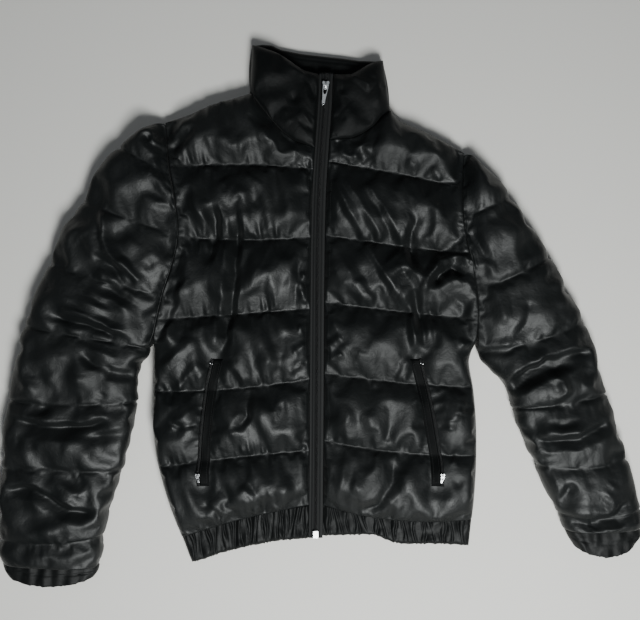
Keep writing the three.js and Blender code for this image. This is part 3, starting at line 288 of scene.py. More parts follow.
FRONT_FOLDS_LEFT = [
    ([(12, 192), (39, 140), (59, 102), (81, 64), (102, 30), (115, 4)], 8, 11, (-1, -0.6)),
    ([(32, 189), (53, 151), (73, 119), (92, 88)], 7, 7, (-1, -0.6)),
    ([(60, 182), (84, 147), (98, 122), (116, 84)], 7, 10, (-1, -0.6)),
    ([(106, 88), (125, 57), (143, 28)], 4, 6, (-1, -0.6)),
    ([(116, 85), (133, 55), (147, 29)], 4, 6),
    ([(141, 22), (146, 49), (162, 71), (185, 81), (206, 72), (217, 48)], 5, 14),
    ([(157, 36), (163, 54), (179, 62), (196, 53)], 4, -12),
    ([(143, 27), (162, 34), (179, 45), (196, 45)], 5, 6),
    ([(162, 154), (155, 125), (148, 91)], 8, 6),
    ([(133, 141), (124, 105), (125, 60)], 5, -12),
    ([(141, 108), (146, 87)], 5, 4),
    ([(10, 71), (21, 57), (34, 36)], 6, 5),
    ([(25, 84), (42, 49), (64, 11)], 7, 6),
    ([(48, 49), (62, 29), (73, 10)], 5, 4),
    ([(95, 81), (106, 69), (112, 55)], 10, 6),
    ([(106, 38), (119, 10), (126, -21), (129, -60)], 5, 10, (-1, 0)),
    ([(126, 36), (137, -7), (143, -52)], 5, -11),
    ([(146, 28), (155, -13), (158, -50)], 5, -8),
    ([(11, -7), (22, -27), (39, -52)], 5, 4),
    ([(7, -48), (28, -32)], 4, 5),
    ([(10, -66), (32, -55)], 4, 4),
    ([(53, -49), (43, -83)], 8, 4),
    ([(62, -7), (70, -38), (64, -69)], 9, 4),
    ([(99, -57), (109, -74), (98, -99)], 6, -5),
    ([(129, -55), (115, -71), (104, -99)], 6, 5, (-1, -0.3)),
    ([(81, -181), (73, -209), (45, -251)], 8, 7),
    ([(99, -199), (99, -234), (78, -265), (50, -276)], 6, -9),
    ([(17, -192), (10, -227), (6, -262)], 6, 5),
    ([(35, -199), (27, -234), (21, -262)], 6, 5),
    ([(53, -195), (49, -227), (34, -262)], 5, 4),
    ([(41, -127), (32, -153), (38, -181)], 8, 6),
    ([(62, -133), (70, -161), (76, -186)], 7, 4),
    ([(91, -119), (94, -157), (85, -186)], 7, -4),
    ([(129, -116), (143, -130)], 4, 5),
    ([(160, 38), (186, 18), (207, 1)], 6, -5),
    ([(186, 38), (199, 43), (210, 32)], 6, 5),
    ([(186, -41), (207, -45)], 4, 5),
    ([(193, -105), (188, -125), (182, -150)], 6, 5),
    ([(197, -123), (193, -141)], 5, 4),
    ([(178, -143), (175, -164)], 5, 4),
    ([(176, -209), (188, -203)], 5, 4),
    ([(179, -231), (196, -239)], 5, -4),
    ([(25, 172), (20, 137), (28, 109)], 6, 3),
    ([(25, 242), (11, 214), (6, 193)], 4, -3),
    ([(42, 214), (70, 228)], 4, 4),
    ([(81, 256), (70, 228), (46, 211)], 6, -5),
    ([(102, 186), (126, 158), (137, 141)], 8, 4),
    ([(120, 214), (129, 197)], 5, 4),
    ([(151, 203), (160, 183)], 5, 4),
    ([(112, -195), (104, -234), (106, -269)], 6, -4),
    ([(70, -97), (87, -99)], 4, 3),
]
ARM_FOLDS_RIGHT = [
    ([(-321, 151), (-305, 143), (-298, 123), (-298, 102), (-291, 83), (-279, 67), (-267, 46),
       (-251, 34)], 5, 14, (-1, -0.2)),
    ([(-276, 77), (-262, 56), (-246, 39)], 5, 6),
    ([(-316, 83), (-297, 70), (-274, 57), (-253, 35)], 5, -14, (0, 1)),
    ([(-311, 41), (-283, 27), (-245, 6)], 4, -8, (0, 1)),
    ([(-314, 52), (-283, 42), (-252, 18)], 7, 6),
    ([(-311, 29), (-286, 18), (-263, 3)], 5, 6),
    ([(-360, 10), (-318, -4), (-266, -31)], 5, 7),
    ([(-374, -4), (-318, -18), (-272, -35)], 5, -15, (0, 1)),
    ([(-391, -8), (-346, -21), (-297, -34)], 5, 5),
    ([(-367, 21), (-325, 14), (-276, -3)], 5, 5),
    ([(-335, -41), (-304, -55), (-277, -63)], 5, 6),
    ([(-333, -55), (-315, -70), (-288, -77)], 4, -7),
    ([(-302, -81), (-260, -85)], 4, -8, (0, 1)),
    ([(-440, -119), (-402, -127), (-367, -132)], 5, -10, (0, 1)),
    ([(-426, -147), (-381, -157), (-332, -158), (-286, -148)], 6, -18, (0, 1)),
    ([(-346, -146), (-318, -140), (-294, -139)], 6, 5),
    ([(-402, -139), (-367, -143)], 6, 4),
    ([(-333, -176), (-297, -169), (-265, -164)], 4, -9, (0, 1)),
    ([(-447, -217), (-388, -214), (-311, -221)], 3, -5),
    ([(-446, -246), (-423, -242), (-400, -242), (-372, -259), (-349, -273), (-308, -279)], 5, -15, (0, 1)),
    ([(-384, -231), (-332, -248), (-336, -262)], 6, 6),
    ([(-412, -307), (-388, -295), (-358, -305)], 9, 4),
    ([(-330, -342), (-312, -332)], 4, -5),
    ([(-367, -318), (-346, -309)], 7, 3),
    ([(-434, -361), (-409, -363), (-381, -354), (-346, -367), (-316, -363)], 3, -5),
    ([(-252, 251), (-232, 230), (-190, 221)], 5, -8),
    ([(-241, 242), (-224, 231), (-202, 231)], 5, 5),
    ([(-241, 203), (-221, 179), (-202, 158)], 6, 7),
    ([(-249, 160), (-224, 151), (-196, 148)], 5, 5),
    ([(-234, 214), (-227, 192)], 6, 5),
    ([(-272, 109), (-244, 83), (-218, 73)], 10, 5),
    ([(-203, 105), (-216, 80), (-246, 60)], 6, -7),
    ([(-353, -52), (-361, -77), (-381, -101)], 8, 4),
    ([(-333, -83), (-336, -108), (-325, -133)], 8, 5),
    ([(-398, -87), (-402, -111)], 7, 4),
    ([(-409, 39), (-381, 29)], 8, 3),
    ([(-346, 119), (-328, 102)], 10, 4),
    ([(-300, -108), (-308, -125)], 5, -4),
    ([(-358, -185), (-311, -195)], 10, 4),
    ([(-423, -178), (-388, -186)], 8, -4),
]
ARM_FOLDS_LEFT = [
    ([(235, 32), (256, 46), (284, 63), (316, 80)], 4, -5),
    ([(232, 42), (245, 15), (253, -18)], 7, 7),
    ([(286, 18), (279, -17), (263, -42)], 6, -6),
    ([(230, -48), (246, -46), (263, -39)], 5, 7),
    ([(354, 11), (333, -18)], 9, -4),
    ([(253, -105), (284, -81), (312, -67), (354, -55), (378, -56)], 7, -22, (0, 1)),
    ([(256, -114), (288, -92), (316, -79), (348, -68)], 5, -10),
    ([(256, -91), (280, -69), (312, -55)], 7, 5),
    ([(305, -81), (329, -92), (332, -108), (319, -125)], 5, 9),
    ([(312, -130), (350, -123), (392, -116)], 4, -5),
    ([(307, -155), (333, -153), (357, -148)], 4, -5),
    ([(288, -171), (316, -178), (354, -172), (400, -150)], 5, -16, (0, 1)),
    ([(298, -161), (326, -165), (361, -160)], 6, 4),
    ([(389, -210), (420, -203)], 3, -4),
    ([(309, -199), (323, -234), (329, -260)], 7, 6),
    ([(329, -260), (347, -234)], 5, -7),
    ([(322, -272), (349, -290), (375, -290), (403, -279), (428, -258)], 6, -18, (0, 1)),
    ([(333, -262), (354, -276), (389, -272)], 6, 5),
    ([(393, -319), (417, -316), (441, -311)], 3, -4),
    ([(347, -311), (375, -318), (403, -309)], 8, 4),
    ([(196, 108), (207, 83), (220, 52)], 4, 6),
    ([(207, 116), (221, 88), (232, 66)], 4, -6),
    ([(216, 71), (232, 63), (238, 46)], 5, 6),
    ([(218, 151), (249, 130), (277, 108)], 10, 5),
    ([(256, 137), (277, 109), (291, 71)], 10, -4),
    ([(326, 60), (336, 32), (333, 4)], 10, 4),
    ([(284, -38), (312, -27), (333, -10)], 8, 4),
    ([(361, -13), (378, -31)], 6, 5),
    ([(340, -73), (368, -83), (389, -83)], 8, -4),
    ([(354, -101), (378, -99)], 7, 4),
    ([(375, -178), (361, -199), (368, -234)], 9, 4),
    ([(298, -209), (312, -220)], 5, 4),
    ([(403, -234), (389, -255)], 7, 4),
]
NECK_FOLDS_RIGHT = [
    ([(-45, 308), (-32, 284), (-10, 249)], 5, -5),
    ([(-38, 298), (-25, 273), (-11, 256)], 5, 5),
    ([(-22, 337), (-18, 319), (-8, 293)], 4, -6),
    ([(-31, 281), (-14, 262)], 4, 3),
    ([(-84, 354), (-76, 312), (-59, 281)], 14, 4),
    ([(-55, 284), (-42, 263)], 5, 3),
]
NECK_FOLDS_LEFT = [
    ([(22, 337), (31, 326), (28, 302)], 4, -5, (-1, 0)),
    ([(38, 332), (53, 322), (70, 309)], 4, 6, (-0.4, -1)),
    ([(70, 340), (81, 309), (76, 284)], 8, 4),
    ([(32, 284), (53, 265)], 10, 3),
]


# Plain arithmetic on arrays
def mix(a, b, share):
    return a + (b - a) * share


def clamp(value):
    return np.clip(value, 0.0, 1.0)


def smooth(value):
    value = clamp(value)
    return value * value * (3 - 2 * value)


def arch(distance, reach):
    """A rounded rise from 0 to 1 over a reach, like the side of a cushion."""
    return np.sqrt(1 - (1 - clamp(distance / reach)) ** 2)


def swell(distance, reach, power):
    """A rise from 0 to 1 over a reach, steeper at its foot with a higher power."""
    return 1 - (1 - clamp(distance / reach)) ** power


def bell(distance, reach):
    """1 at no distance, and nearly 0 at twice the reach."""
    return np.exp(-((distance / reach) ** 2))


def unit(vectors):
    return vectors / np.maximum(np.linalg.norm(vectors, axis=-1, keepdims=True), 1e-9)


def points_of(x, y, z):
    """Points from their coordinates, each spread out to the shape of all three together."""
    return np.stack(np.broadcast_arrays(x, y, z), axis=-1)


def column_at(rows, at):
    """A table's second column where its first has the given value, on a smooth curve."""
    keys, values = np.array(rows, float).T
    slopes = np.gradient(values) / np.gradient(keys)
    if keys[-1] < keys[0]:
        keys, values, slopes = keys[::-1], values[::-1], slopes[::-1]
    at = np.clip(np.asarray(at, float), keys[0], keys[-1])
    row = np.clip(np.searchsorted(keys, at, side="right") - 1, 0, len(keys) - 2)
    span = keys[row + 1] - keys[row]
    t = (at - keys[row]) / span
    keep = (1 + 2 * t) * (1 - t) ** 2
    bend = slopes[row] * t * (1 - t) ** 2 - slopes[row + 1] * t**2 * (1 - t)
    return values[row] * keep + values[row + 1] * (1 - keep) + span * bend


def straight_at(rows, at):
    keys, values = np.array(sorted(rows), float).T
    return np.interp(at, keys, values)


def spline(points, places):
    """Points on a curve through all the given ones, at places counted in points."""
    points = np.array(points, float)
    ends = np.concatenate([2 * points[:1] - points[1:2], points, 2 * points[-1:] - points[-2:-1]])
    row = np.clip(np.floor(places).astype(int), 0, len(points) - 2)
    t = (np.asarray(places) - row)[:, None]
    before, start, end, after = (ends[row + k] for k in range(4))
    slope0, slope1 = (end - before) / 2, (after - start) / 2
    return (
        (2 * start - 2 * end + slope0 + slope1) * t**3
        + (-3 * start + 3 * end - 2 * slope0 - slope1) * t**2
        + slope0 * t
        + start
    )


def lengths_along(line):
    """How long a line is up to each of its points."""
    return np.concatenate([[0], np.cumsum(np.linalg.norm(np.diff(line, axis=0), axis=1))])


def points_at(line, lengths, at):
    return np.stack([np.interp(at, lengths, column) for column in line.T], axis=-1)


def along_line(line, shares):
    """Points at shares of a line's length."""
    line = np.array(line, float)
    lengths = lengths_along(line)
    return points_at(line, lengths, clamp(shares) * lengths[-1])


def near_line(line, x, y, lip=(0.0, 0.0)):
    """How far places are from a line, at what share of its length, and how far towards the lip's side."""
    line = np.array(line, float)
    lengths = np.linalg.norm(np.diff(line, axis=0), axis=1)
    total, before = lengths.sum(), 0.0
    best = np.full(np.shape(x), np.inf)
    share, beyond = np.zeros(np.shape(x)), np.zeros(np.shape(x))
    for (x0, y0), (x1, y1), length in zip(line[:-1], line[1:], lengths):
        t = clamp(((x - x0) * (x1 - x0) + (y - y0) * (y1 - y0)) / length**2)
        step_x, step_y = x - x0 - t * (x1 - x0), y - y0 - t * (y1 - y0)
        distance = np.hypot(step_x, step_y)
        nearer = distance < best
        best = np.where(nearer, distance, best)
        share = np.where(nearer, (before + t * length) / total, share)
        beyond = np.where(nearer, step_x * lip[0] + step_y * lip[1], beyond)
        before += length
    return best, share, beyond


def ripple(x, y, size, seed):
    """Smooth uneven noise from about -1 to 1, with humps of the given size."""
    rng = np.random.default_rng(seed)
    total = np.zeros(np.shape(x))
    for _ in range(RIPPLE_WAVES):
        angle, phase = rng.uniform(0, 2 * math.pi, 2)
        pitch = 2 * math.pi / size * rng.uniform(0.6, 1.5)
        total += np.sin(pitch * (x * math.cos(angle) + y * math.sin(angle)) + phase)
    return total / math.sqrt(RIPPLE_WAVES)


def gather_wave(across, count, seed=0):
    """Uneven gathers from about -1 to 1, with rounded tops and sharp valleys."""
    phase = across * count + 0.24 * np.sin(across * count * 1.7 + seed) + 0.1 * np.sin(across * count * 4.1)
    uneven = 0.72 + 0.28 * np.sin(np.floor(phase) * 2.3 + seed)
    return uneven * (2 * np.abs(np.sin(math.pi * phase)) ** 0.75 - 1)


# What the seams and folds add to the height
def puckers(x, y, near_seam, seed):
    """Short creases that run from a quilted seam into the channel."""
    uneven = clamp(0.5 + 0.8 * ripple(x, y, 60, seed + 2))
    short = ripple(x + 0.15 * y, 0.22 * y, PUCKER_SIZE, seed) * np.exp(-near_seam / PUCKER_SIZE)
    return PUCKER_RISE * uneven * short * smooth(near_seam / 4)


def fold_rise(folds, x, y, seed):
    """The listed folds, each faded out at both ends. A lapped one has one steep side."""
    bent_x = x + FOLD_WOBBLE * ripple(x, y, 30, seed)
    bent_y = y + FOLD_WOBBLE * ripple(x, y, 30, seed + 1)
    rise = np.zeros(np.shape(x))
    for number, (path, width, height, *lip) in enumerate(folds):
        distance, share, beyond = near_line(path, bent_x, bent_y, *lip)
        fade = smooth(np.minimum(share, 1 - share) * 4 + 0.15)
        uneven = 0.8 + 0.2 * np.sin(share * 9 + number)
        steep = np.where(beyond > 0, LIP_WIDTH, width * 1.5) if lip else width
        slope = clamp(1.07 - np.sqrt((distance / (FOLD_REACH * steep)) ** 2 + 0.0049))
        rise += FOLD_SHARE * height * fade * uneven * 1.12 * slope**2 / (slope + 0.12)
    return rise


def zip_x(y):
    return column_at(ZIP_LINE, y)


def zip_z(y):
    return column_at(ZIP_HEIGHT, y)


def zip_lift(y, from_zip, inside_z, reach):
    """How far the cloth is raised beside the front zip."""
    return (zip_z(y) + ABOVE_TEETH - inside_z - SEAM_WALL) * (1 - smooth(from_zip / reach))


def armhole_z(y, tip_y):
    """The height at which a front and its sleeve meet."""
    return BACK_WALL + SEAM_GAP + mix(ARMHOLE_LOW, ARMHOLE_RISE, smooth((tip_y - y) / SHOULDER_REACH))


def free_side(y):
    """0 where the body's side is sewn to a sleeve, and 1 below the underarm."""
    return smooth((UNDERARM_Y + 12 - y) / 24)


def seam_y(seam, share):
    side_y, middle_y, zip_y = seam
    return mix(side_y, zip_y, share) + 4 * (middle_y - (side_y + zip_y) / 2) * share * (1 - share)


# Meshes
def to_metres(points):
    return (np.asarray(points, float) + SHIFT) / 1000


def new_mesh(name, points, faces):
    mesh = bpy.data.meshes.new(name)
    mesh.from_pydata([tuple(p) for p in to_metres(points)], [], [tuple(map(int, f)) for f in faces])
    mesh.validate()
    mesh.update()
    piece = bpy.data.objects.new(name, mesh)
    bpy.context.scene.collection.objects.link(piece)
    return piece


def closed_mesh(name, points, faces):
    """A smooth piece whose faces all look outwards."""
    piece = new_mesh(name, points, faces)
    b = bmesh.new()
    b.from_mesh(piece.data)
    bmesh.ops.recalc_face_normals(b, faces=b.faces)
    b.to_mesh(piece.data)
    b.free()
    piece.data.polygons.foreach_set("use_smooth", [True] * len(piece.data.polygons))
    piece.data.update()
    return piece


def faces_of(index):
    """Faces between neighbours in a grid of point numbers."""
    corners = [index[:-1, :-1], index[:-1, 1:], index[1:, 1:], index[1:, :-1]]
    return np.stack(corners, axis=-1).reshape(-1, 4)


def grid_faces(rows, columns, start=0):
    return faces_of(start + np.arange(rows * columns).reshape(rows, columns))


def ring_faces(ring, next_ring):
    """Faces between two rings of point numbers."""
    return np.stack([ring, np.roll(ring, -1), np.roll(next_ring, -1), next_ring], axis=-1)


def rim_of(rows, columns):
    """The point numbers once round a grid's edge."""
    index = np.arange(rows * columns).reshape(rows, columns)
    return np.concatenate([index[:-1, 0], index[-1, :-1], index[:0:-1, -1], index[0, :0:-1]])


def edge_mask(rows, columns):
    mask = np.zeros((rows, columns), bool)
    mask[0] = mask[-1] = mask[:, 0] = mask[:, -1] = True
    return mask


def finer(grid):
    """Twice as many rows and columns, on curves through the points that are there."""
    for _ in range(2):
        ends = np.concatenate([2 * grid[:1] - grid[1:2], grid, 2 * grid[-1:] - grid[-2:-1]])
        middle = (9 * (ends[1:-2] + ends[2:-1]) - ends[:-3] - ends[3:]) / 16
        out = np.empty((2 * len(grid) - 1, *grid.shape[1:]))
        out[::2], out[1::2] = grid, middle
        grid = out.swapaxes(0, 1)
    return grid


def closed_panel(name, grid, inside_z):
    """A panel's outer points over a plain flat inside."""
    points = grid.reshape(-1, 3)
    rim = rim_of(*grid.shape[:2])
    inside = points[rim].copy()
    inside[:, 2] = inside_z
    inside_rim = len(points) + np.arange(len(rim))
    faces = [*grid_faces(*grid.shape[:2]), *ring_faces(rim, inside_rim), inside_rim]
    return closed_mesh(name, np.concatenate([points, inside]), faces)


def closed_sheet(name, top, bottom_z):
    """A thin piece between a grid of points and a surface under it."""
    rows, columns = top.shape[:2]
    count = rows * columns
    bottom = top.copy()
    bottom[..., 2] = bottom_z
    rim = rim_of(rows, columns)
    faces = [*grid_faces(rows, columns), *grid_faces(rows, columns, count), *ring_faces(rim, count + rim)]
    return closed_mesh(name, np.concatenate([top.reshape(-1, 3), bottom.reshape(-1, 3)]), faces)


def closed_tube(name, grid, groove=0.0, lip=None):
    """A tube from its loop over the top, with a flat base that is drawn up by a groove at quilted seams.

    Where a lip is given, the far end has a flattened mouth that is turned in behind the lip.
    """
    shares = np.linspace(0, 1, BASE_COLUMNS + 2)[1:-1]
    base = mix(grid[:, -1:], grid[:, :1], shares[None, :, None])
    base[..., 2] = np.reshape(groove, (-1, 1)) * np.sin(np.pi * shares)[None, :] ** 0.3
    loops = np.concatenate([grid, base], axis=1)
    points = loops.reshape(-1, 3)
    index = np.arange(len(points)).reshape(loops.shape[:2])
    faces = [*faces_of(np.concatenate([index, index[:, :1]], axis=1)), index[0]]
    ring = index[-1]
    rings = [points]
    if lip:
        edge = points[ring]
        centre = edge.mean(axis=0)
        half_height = np.ptp(edge[:, 2]) / 2
        outward = unit(grid[-1].mean(axis=0) - grid[-6].mean(axis=0))
        for number, (share, depth) in enumerate(MOUTH_RINGS):
            inner = edge.copy()
            inner[:, 2] = centre[2] + (edge[:, 2] - centre[2]) * (1 - share * lip / half_height)
            inner[:, :2] = mix(edge[:, :2], centre[:2], 0.07 * share) - outward[:2] * depth
            rings.append(inner)
            next_ring = len(points) + number * len(edge) + np.arange(len(edge))
            faces += [*ring_faces(ring, next_ring)]
            ring = next_ring
    return closed_mesh(name, np.concatenate(rings), [*faces, ring])


def beads(name, centres, along, half, sides=6):
    """Many rounded rods as one mesh, each with its own centre and direction."""
    angles = 2 * np.pi * np.arange(sides) / sides
    rings = [(-1.0, 0.45), (-0.72, 1.0), (0.72, 1.0), (1.0, 0.45)]
    local = np.array([(a, r * math.cos(t), r * math.sin(t)) for a, r in rings for t in angles]) * half
    index = np.arange(len(local)).reshape(len(rings), sides)
    faces = [face for k in range(3) for face in ring_faces(index[k], index[k + 1]).tolist()]
    faces += [index[0, ::-1].tolist(), index[-1].tolist()]
    along = unit(np.broadcast_to(np.asarray(along, float), centres.shape))
    side = unit(np.cross(UP, along))
    axes = np.stack([along, side, np.cross(along, side)], axis=1)
    points = centres[:, None, :] + np.einsum("pk,nkc->npc", local, axes)
    starts = np.arange(len(centres)) * len(local)
    every = [[start + i for i in face] for start in starts for face in faces]
    return closed_mesh(name, points.reshape(-1, 3), every)


def settle(name, grid, pinned, growth, pressure, reach):
    """The recipe for padding: cloth held at its pinned points, and too large for its place.

    Pressure makes it swell and crease. No point moves further than the reach.
    """
    rows, columns = grid.shape[:2]
    piece = new_mesh("settling_" + name, grid.reshape(-1, 3), grid_faces(rows, columns))
    held = piece.vertex_groups.new(name="held")
    held.add([int(i) for i in np.flatnonzero(pinned.ravel())], 1.0, "REPLACE")
    cloth = piece.modifiers.new("cloth", "CLOTH")
    settings = cloth.settings
    settings.quality = 5
    settings.mass = 0.2
    settings.tension_stiffness = settings.compression_stiffness = 12
    settings.shear_stiffness = 4
    settings.bending_stiffness = 30
    settings.tension_damping = settings.compression_damping = 8
    settings.air_damping = 2
    settings.use_pressure = True
    settings.uniform_pressure_force = pressure
    settings.shrink_min = -growth
    settings.vertex_group_mass = "held"
    settings.effector_weights.gravity = 0
    cloth.collision_settings.use_collision = False
    cloth.point_cache.frame_start, cloth.point_cache.frame_end = 1, SETTLE_FRAMES
    scene = bpy.context.scene
    for number in range(1, SETTLE_FRAMES + 1):
        scene.frame_set(number)
    shown = piece.evaluated_get(bpy.context.evaluated_depsgraph_get())
    settled = np.empty(rows * columns * 3, np.float32)
    shown.data.vertices.foreach_get("co", settled)
    settled = settled.reshape(rows, columns, 3).astype(float) * 1000 - SHIFT
    scene.frame_set(1)
    bpy.data.objects.remove(piece)
    moved = settled - grid
    far = np.linalg.norm(moved, axis=-1, keepdims=True)
    return grid + moved * (reach * np.tanh(far / reach) / np.maximum(far, 1e-9))


# Materials
NOISE = "ShaderNodeTexNoise"
WAVE = "ShaderNodeTexWave"


def material(name, color, roughness, metallic=0.0, specular=0.5):
    made = bpy.data.materials.new(name)
    made.use_nodes = True
    shader = made.node_tree.nodes["Principled BSDF"]
    shader.inputs["Base Color"].default_value = (*color, 1)
    shader.inputs["Roughness"].default_value = roughness
    shader.inputs["Metallic"].default_value = metallic
    shader.inputs["Specular IOR Level"].default_value = specular
    return made, made.node_tree, shader


def node(tree, kind, **values):
    """A new node, with its sockets and settings filled in by name."""
    made = tree.nodes.new(kind)
    for key, value in values.items():
        if key in made.inputs:
            made.inputs[key].default_value = value
        else:
            setattr(made, key, value)
    return made


def texture(tree, kind, **values):
    """A texture laid out in the piece's own coordinates."""
    place = node(tree, "ShaderNodeTexCoord")
    made = node(tree, kind, **values)
    tree.links.new(place.outputs["Object"], made.inputs["Vector"])
    return made.outputs["Fac"]


def bumped(tree, height, strength, distance, below=None):
    """A normal that follows a height, and another normal below it."""
    bump = node(tree, "ShaderNodeBump", Strength=strength, Distance=distance)
    tree.links.new(height, bump.inputs["Height"])
    if below:
        tree.links.new(below, bump.inputs["Normal"])
    return bump.outputs["Normal"]


def spread(tree, value, low, high, ends):
    """A texture's values from low to high, spread between two ends."""
    made = node(tree, "ShaderNodeMapRange")
    for key, number in (("From Min", low), ("From Max", high), ("To Min", ends[0]), ("To Max", ends[1])):
        made.inputs[key].default_value = number
    tree.links.new(value, made.inputs["Value"])
    return made.outputs["Result"]


def nylon(name, color, gloss, specular):
    """Thin coated nylon, dark and softly shining.

    It is crinkled at a few millimetres, woven at half a millimetre, and its roughness varies in patches.
    """
    made, tree, shader = material(name, color, sum(gloss) / 2, specular=specular)
    crinkle = texture(tree, NOISE, Scale=150.0, Detail=4.0, Roughness=0.6, Distortion=0.6)
    patches = texture(tree, NOISE, Scale=14.0, Detail=3.0, Roughness=0.55)
    woven = node(tree, "ShaderNodeMath", operation="MULTIPLY")
    for socket, axis in enumerate("XY"):
        threads = texture(tree, WAVE, wave_type="BANDS", bands_direction=axis, Scale=310.0)
        tree.links.new(threads, woven.inputs[socket])
    weave = bumped(tree, woven.outputs[0], strength=0.12, distance=0.0002)
    normal = bumped(tree, crinkle, strength=0.5, distance=0.0011, below=weave)
    tree.links.new(normal, shader.inputs["Normal"])
    tree.links.new(spread(tree, patches, 0.3, 0.7, gloss), shader.inputs["Roughness"])
    shader.inputs["Sheen Weight"].default_value = 0.03
    shader.inputs["Sheen Roughness"].default_value = 0.4
    return made


def raised(name, color, roughness, strength, distance, kind, specular=0.5, **pattern):
    """One colour, with a surface that one texture raises."""
    made, tree, shader = material(name, color, roughness, specular=specular)
    normal = bumped(tree, texture(tree, kind, **pattern), strength, distance)
    tree.links.new(normal, shader.inputs["Normal"])
    return made


def plated():
    """Plated zinc, worn duller in places."""
    made, tree, shader = material("plated_zinc", (0.76, 0.77, 0.78), 0.24, metallic=1.0)
    wear = texture(tree, NOISE, Scale=420.0, Detail=5.0, Roughness=0.65)
    tree.links.new(spread(tree, wear, 0.3, 0.75, (0.16, 0.4)), shader.inputs["Roughness"])
    return made


shell = nylon("coated_nylon", (0.0043, 0.0054, 0.0055), gloss=(0.45, 0.59), specular=0.42)
# The hem's and cuffs' nylon: the same cloth as the shell, a little rougher, and its darker base colour is
# painted shade
shaded_gathered_shell = nylon("gathered_nylon_painted_shade", (0.003, 0.0037, 0.0038), gloss=(0.5, 0.64), specular=0.25)
# The collar's nylon: the same cloth as the shell, rougher, and its darker base colour is painted shade
shaded_collar_shell = nylon("collar_nylon_painted_shade", (0.0028, 0.0035, 0.0036), gloss=(0.56, 0.72), specular=0.2)
# The pocket bands' nylon: the same cloth as the shell, rougher, and its darkest base colour is painted shade
# of the band's hollow
shaded_welt_shell = nylon("welt_nylon_painted_shade", (0.0018, 0.0023, 0.0024), gloss=(0.6, 0.75), specular=0.1)
tape = raised(
    "woven_tape", (0.005, 0.0056, 0.0058), roughness=0.62, specular=0.3, strength=0.5, distance=0.0003,
    kind=WAVE, wave_type="BANDS", bands_direction="Y", Scale=260.0, Distortion=0.4,
)
coil = raised(
    "moulded_coil", (0.007, 0.0075, 0.008), roughness=0.42, strength=0.2, distance=0.0002,
    kind=NOISE, Scale=700.0, Detail=2.0,
)
zip_metal = plated()
thread = raised(
    "sewing_thread", (0.01, 0.011, 0.0115), roughness=0.8, strength=0.4, distance=0.0001,
    kind=WAVE, wave_type="BANDS", bands_direction="DIAGONAL", Scale=900.0,
)


def dress(piece, finish, body="jacket", replaces=None):
    piece.data.materials.clear()
    piece.data.materials.append(finish)
    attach(piece, body)
    if replaces:
        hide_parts(replaces)


def dress_padded(piece, finish, replaces):
    dress(piece, finish, replaces=replaces)


# Fronts
class Front:
    """One front: its grid from side to zip and from shoulder to hem."""

    def __init__(self, side, top, seams, pocket, turn):
        self.side, self.top, self.seams, self.turn = side, top, seams, turn
        self.pocket = [(x - turn * WELT_WIDTH / 2, y) for x, y in pocket]
        self.inside_z = BACK_WALL + SEAM_GAP
        self.neck_x = NECK_X_RIGHT if turn < 0 else NECK_X_LEFT
        self.across = np.linspace(0, 1, round(abs(side[0][1]) / GRID_STEP) + 1)
        self.build()
        self.first_row, self.last_row = self.grid[0, :, :2], self.grid[-1, :, :2]
        self.neck = int(np.argmin(np.abs(self.first_row[:, 0] - self.neck_x)))

    def zip_edge(self, y):
        return zip_x(y) + self.turn * ZIP_HALF_WIDTH

    def shoulder_y(self, share):
        x = mix(self.side[0][1], self.zip_edge(self.top[-1][1]), share)
        return straight_at(self.top, x)

    def build(self):
        """Rows of points at even shares of each channel, and the last seam's own row."""
        ys, channels, shares, pitches = [], [], [], []
        for channel, seam in enumerate(self.seams):
            upper = seam_y(self.seams[channel - 1], self.across) if channel else self.shoulder_y(self.across)
            lower = seam_y(seam, self.across)
            for share in np.arange(CHANNEL_ROWS[channel]) / CHANNEL_ROWS[channel]:
                ys.append(mix(upper, lower, share))
                channels.append(channel)
                shares.append(share)
                pitches.append(upper - lower)
        y = np.array([*ys, lower])
        self.channel, self.share = np.array([*channels, channel]), np.array([*shares, 1.0])
        self.pitch = np.array([*pitches, upper - lower])
        self.on_seam = (self.share == 0) & (self.channel > 0)
        edge, inner = column_at(self.side, y[:, 0]), self.zip_edge(y[:, -1])
        x = mix(edge[:, None], inner[:, None], self.across[None, :])
        self.grid = points_of(x, y, self.height(x, y))

    def height(self, x, y):
        """The plain swollen height, and where folds and puckers have room."""
        share = self.share[:, None]
        from_upper, from_lower = share * self.pitch, (1 - share) * self.pitch
        from_side = np.abs(x - column_at(self.side, y))
        from_zip = np.abs(x - self.zip_edge(y))
        free = free_side(y)
        by_armhole = (1 - free) * bell(from_side, ARMHOLE_REACH)
        on_shoulder = (self.channel[:, None] == 0) & (self.turn * (x - self.neck_x) > 0)
        edge = mix(1, arch(from_side, EDGE_REACH), free)
        shoulder = np.where(on_shoulder, arch(from_upper, EDGE_REACH), 1)
        low = EDGE_WALL + (SEAM_WALL - EDGE_WALL) * edge * shoulder
        puff = swell(from_upper, UPPER_REACH, 2.4) * swell(from_lower, LOWER_REACH, 1.6)
        puff = puff * arch(from_side, ACROSS_REACH)
        unpressed = 1 - 0.7 * bell(near_line(self.pocket, x, y)[0], POCKET_PRESS_WIDTH)
        body = low + FRONT_CROWN * puff * arch(from_zip, ACROSS_REACH) * unpressed
        lift = zip_lift(y, from_zip, self.inside_z, ACROSS_REACH)
        self.puff = puff * arch(from_zip, 20) * unpressed
        self.near_seam = np.minimum(share, 1 - share) * self.pitch
        by_side = np.maximum(smooth(from_side / 8), 0.7 * by_armhole)
        self.room = (0.65 + 0.35 * smooth(self.near_seam / 7)) * smooth(from_zip / 6) * by_side
        z = self.inside_z + np.maximum(EDGE_WALL, body + lift)
        return mix(z, armhole_z(y, self.side[0][0]), by_armhole)


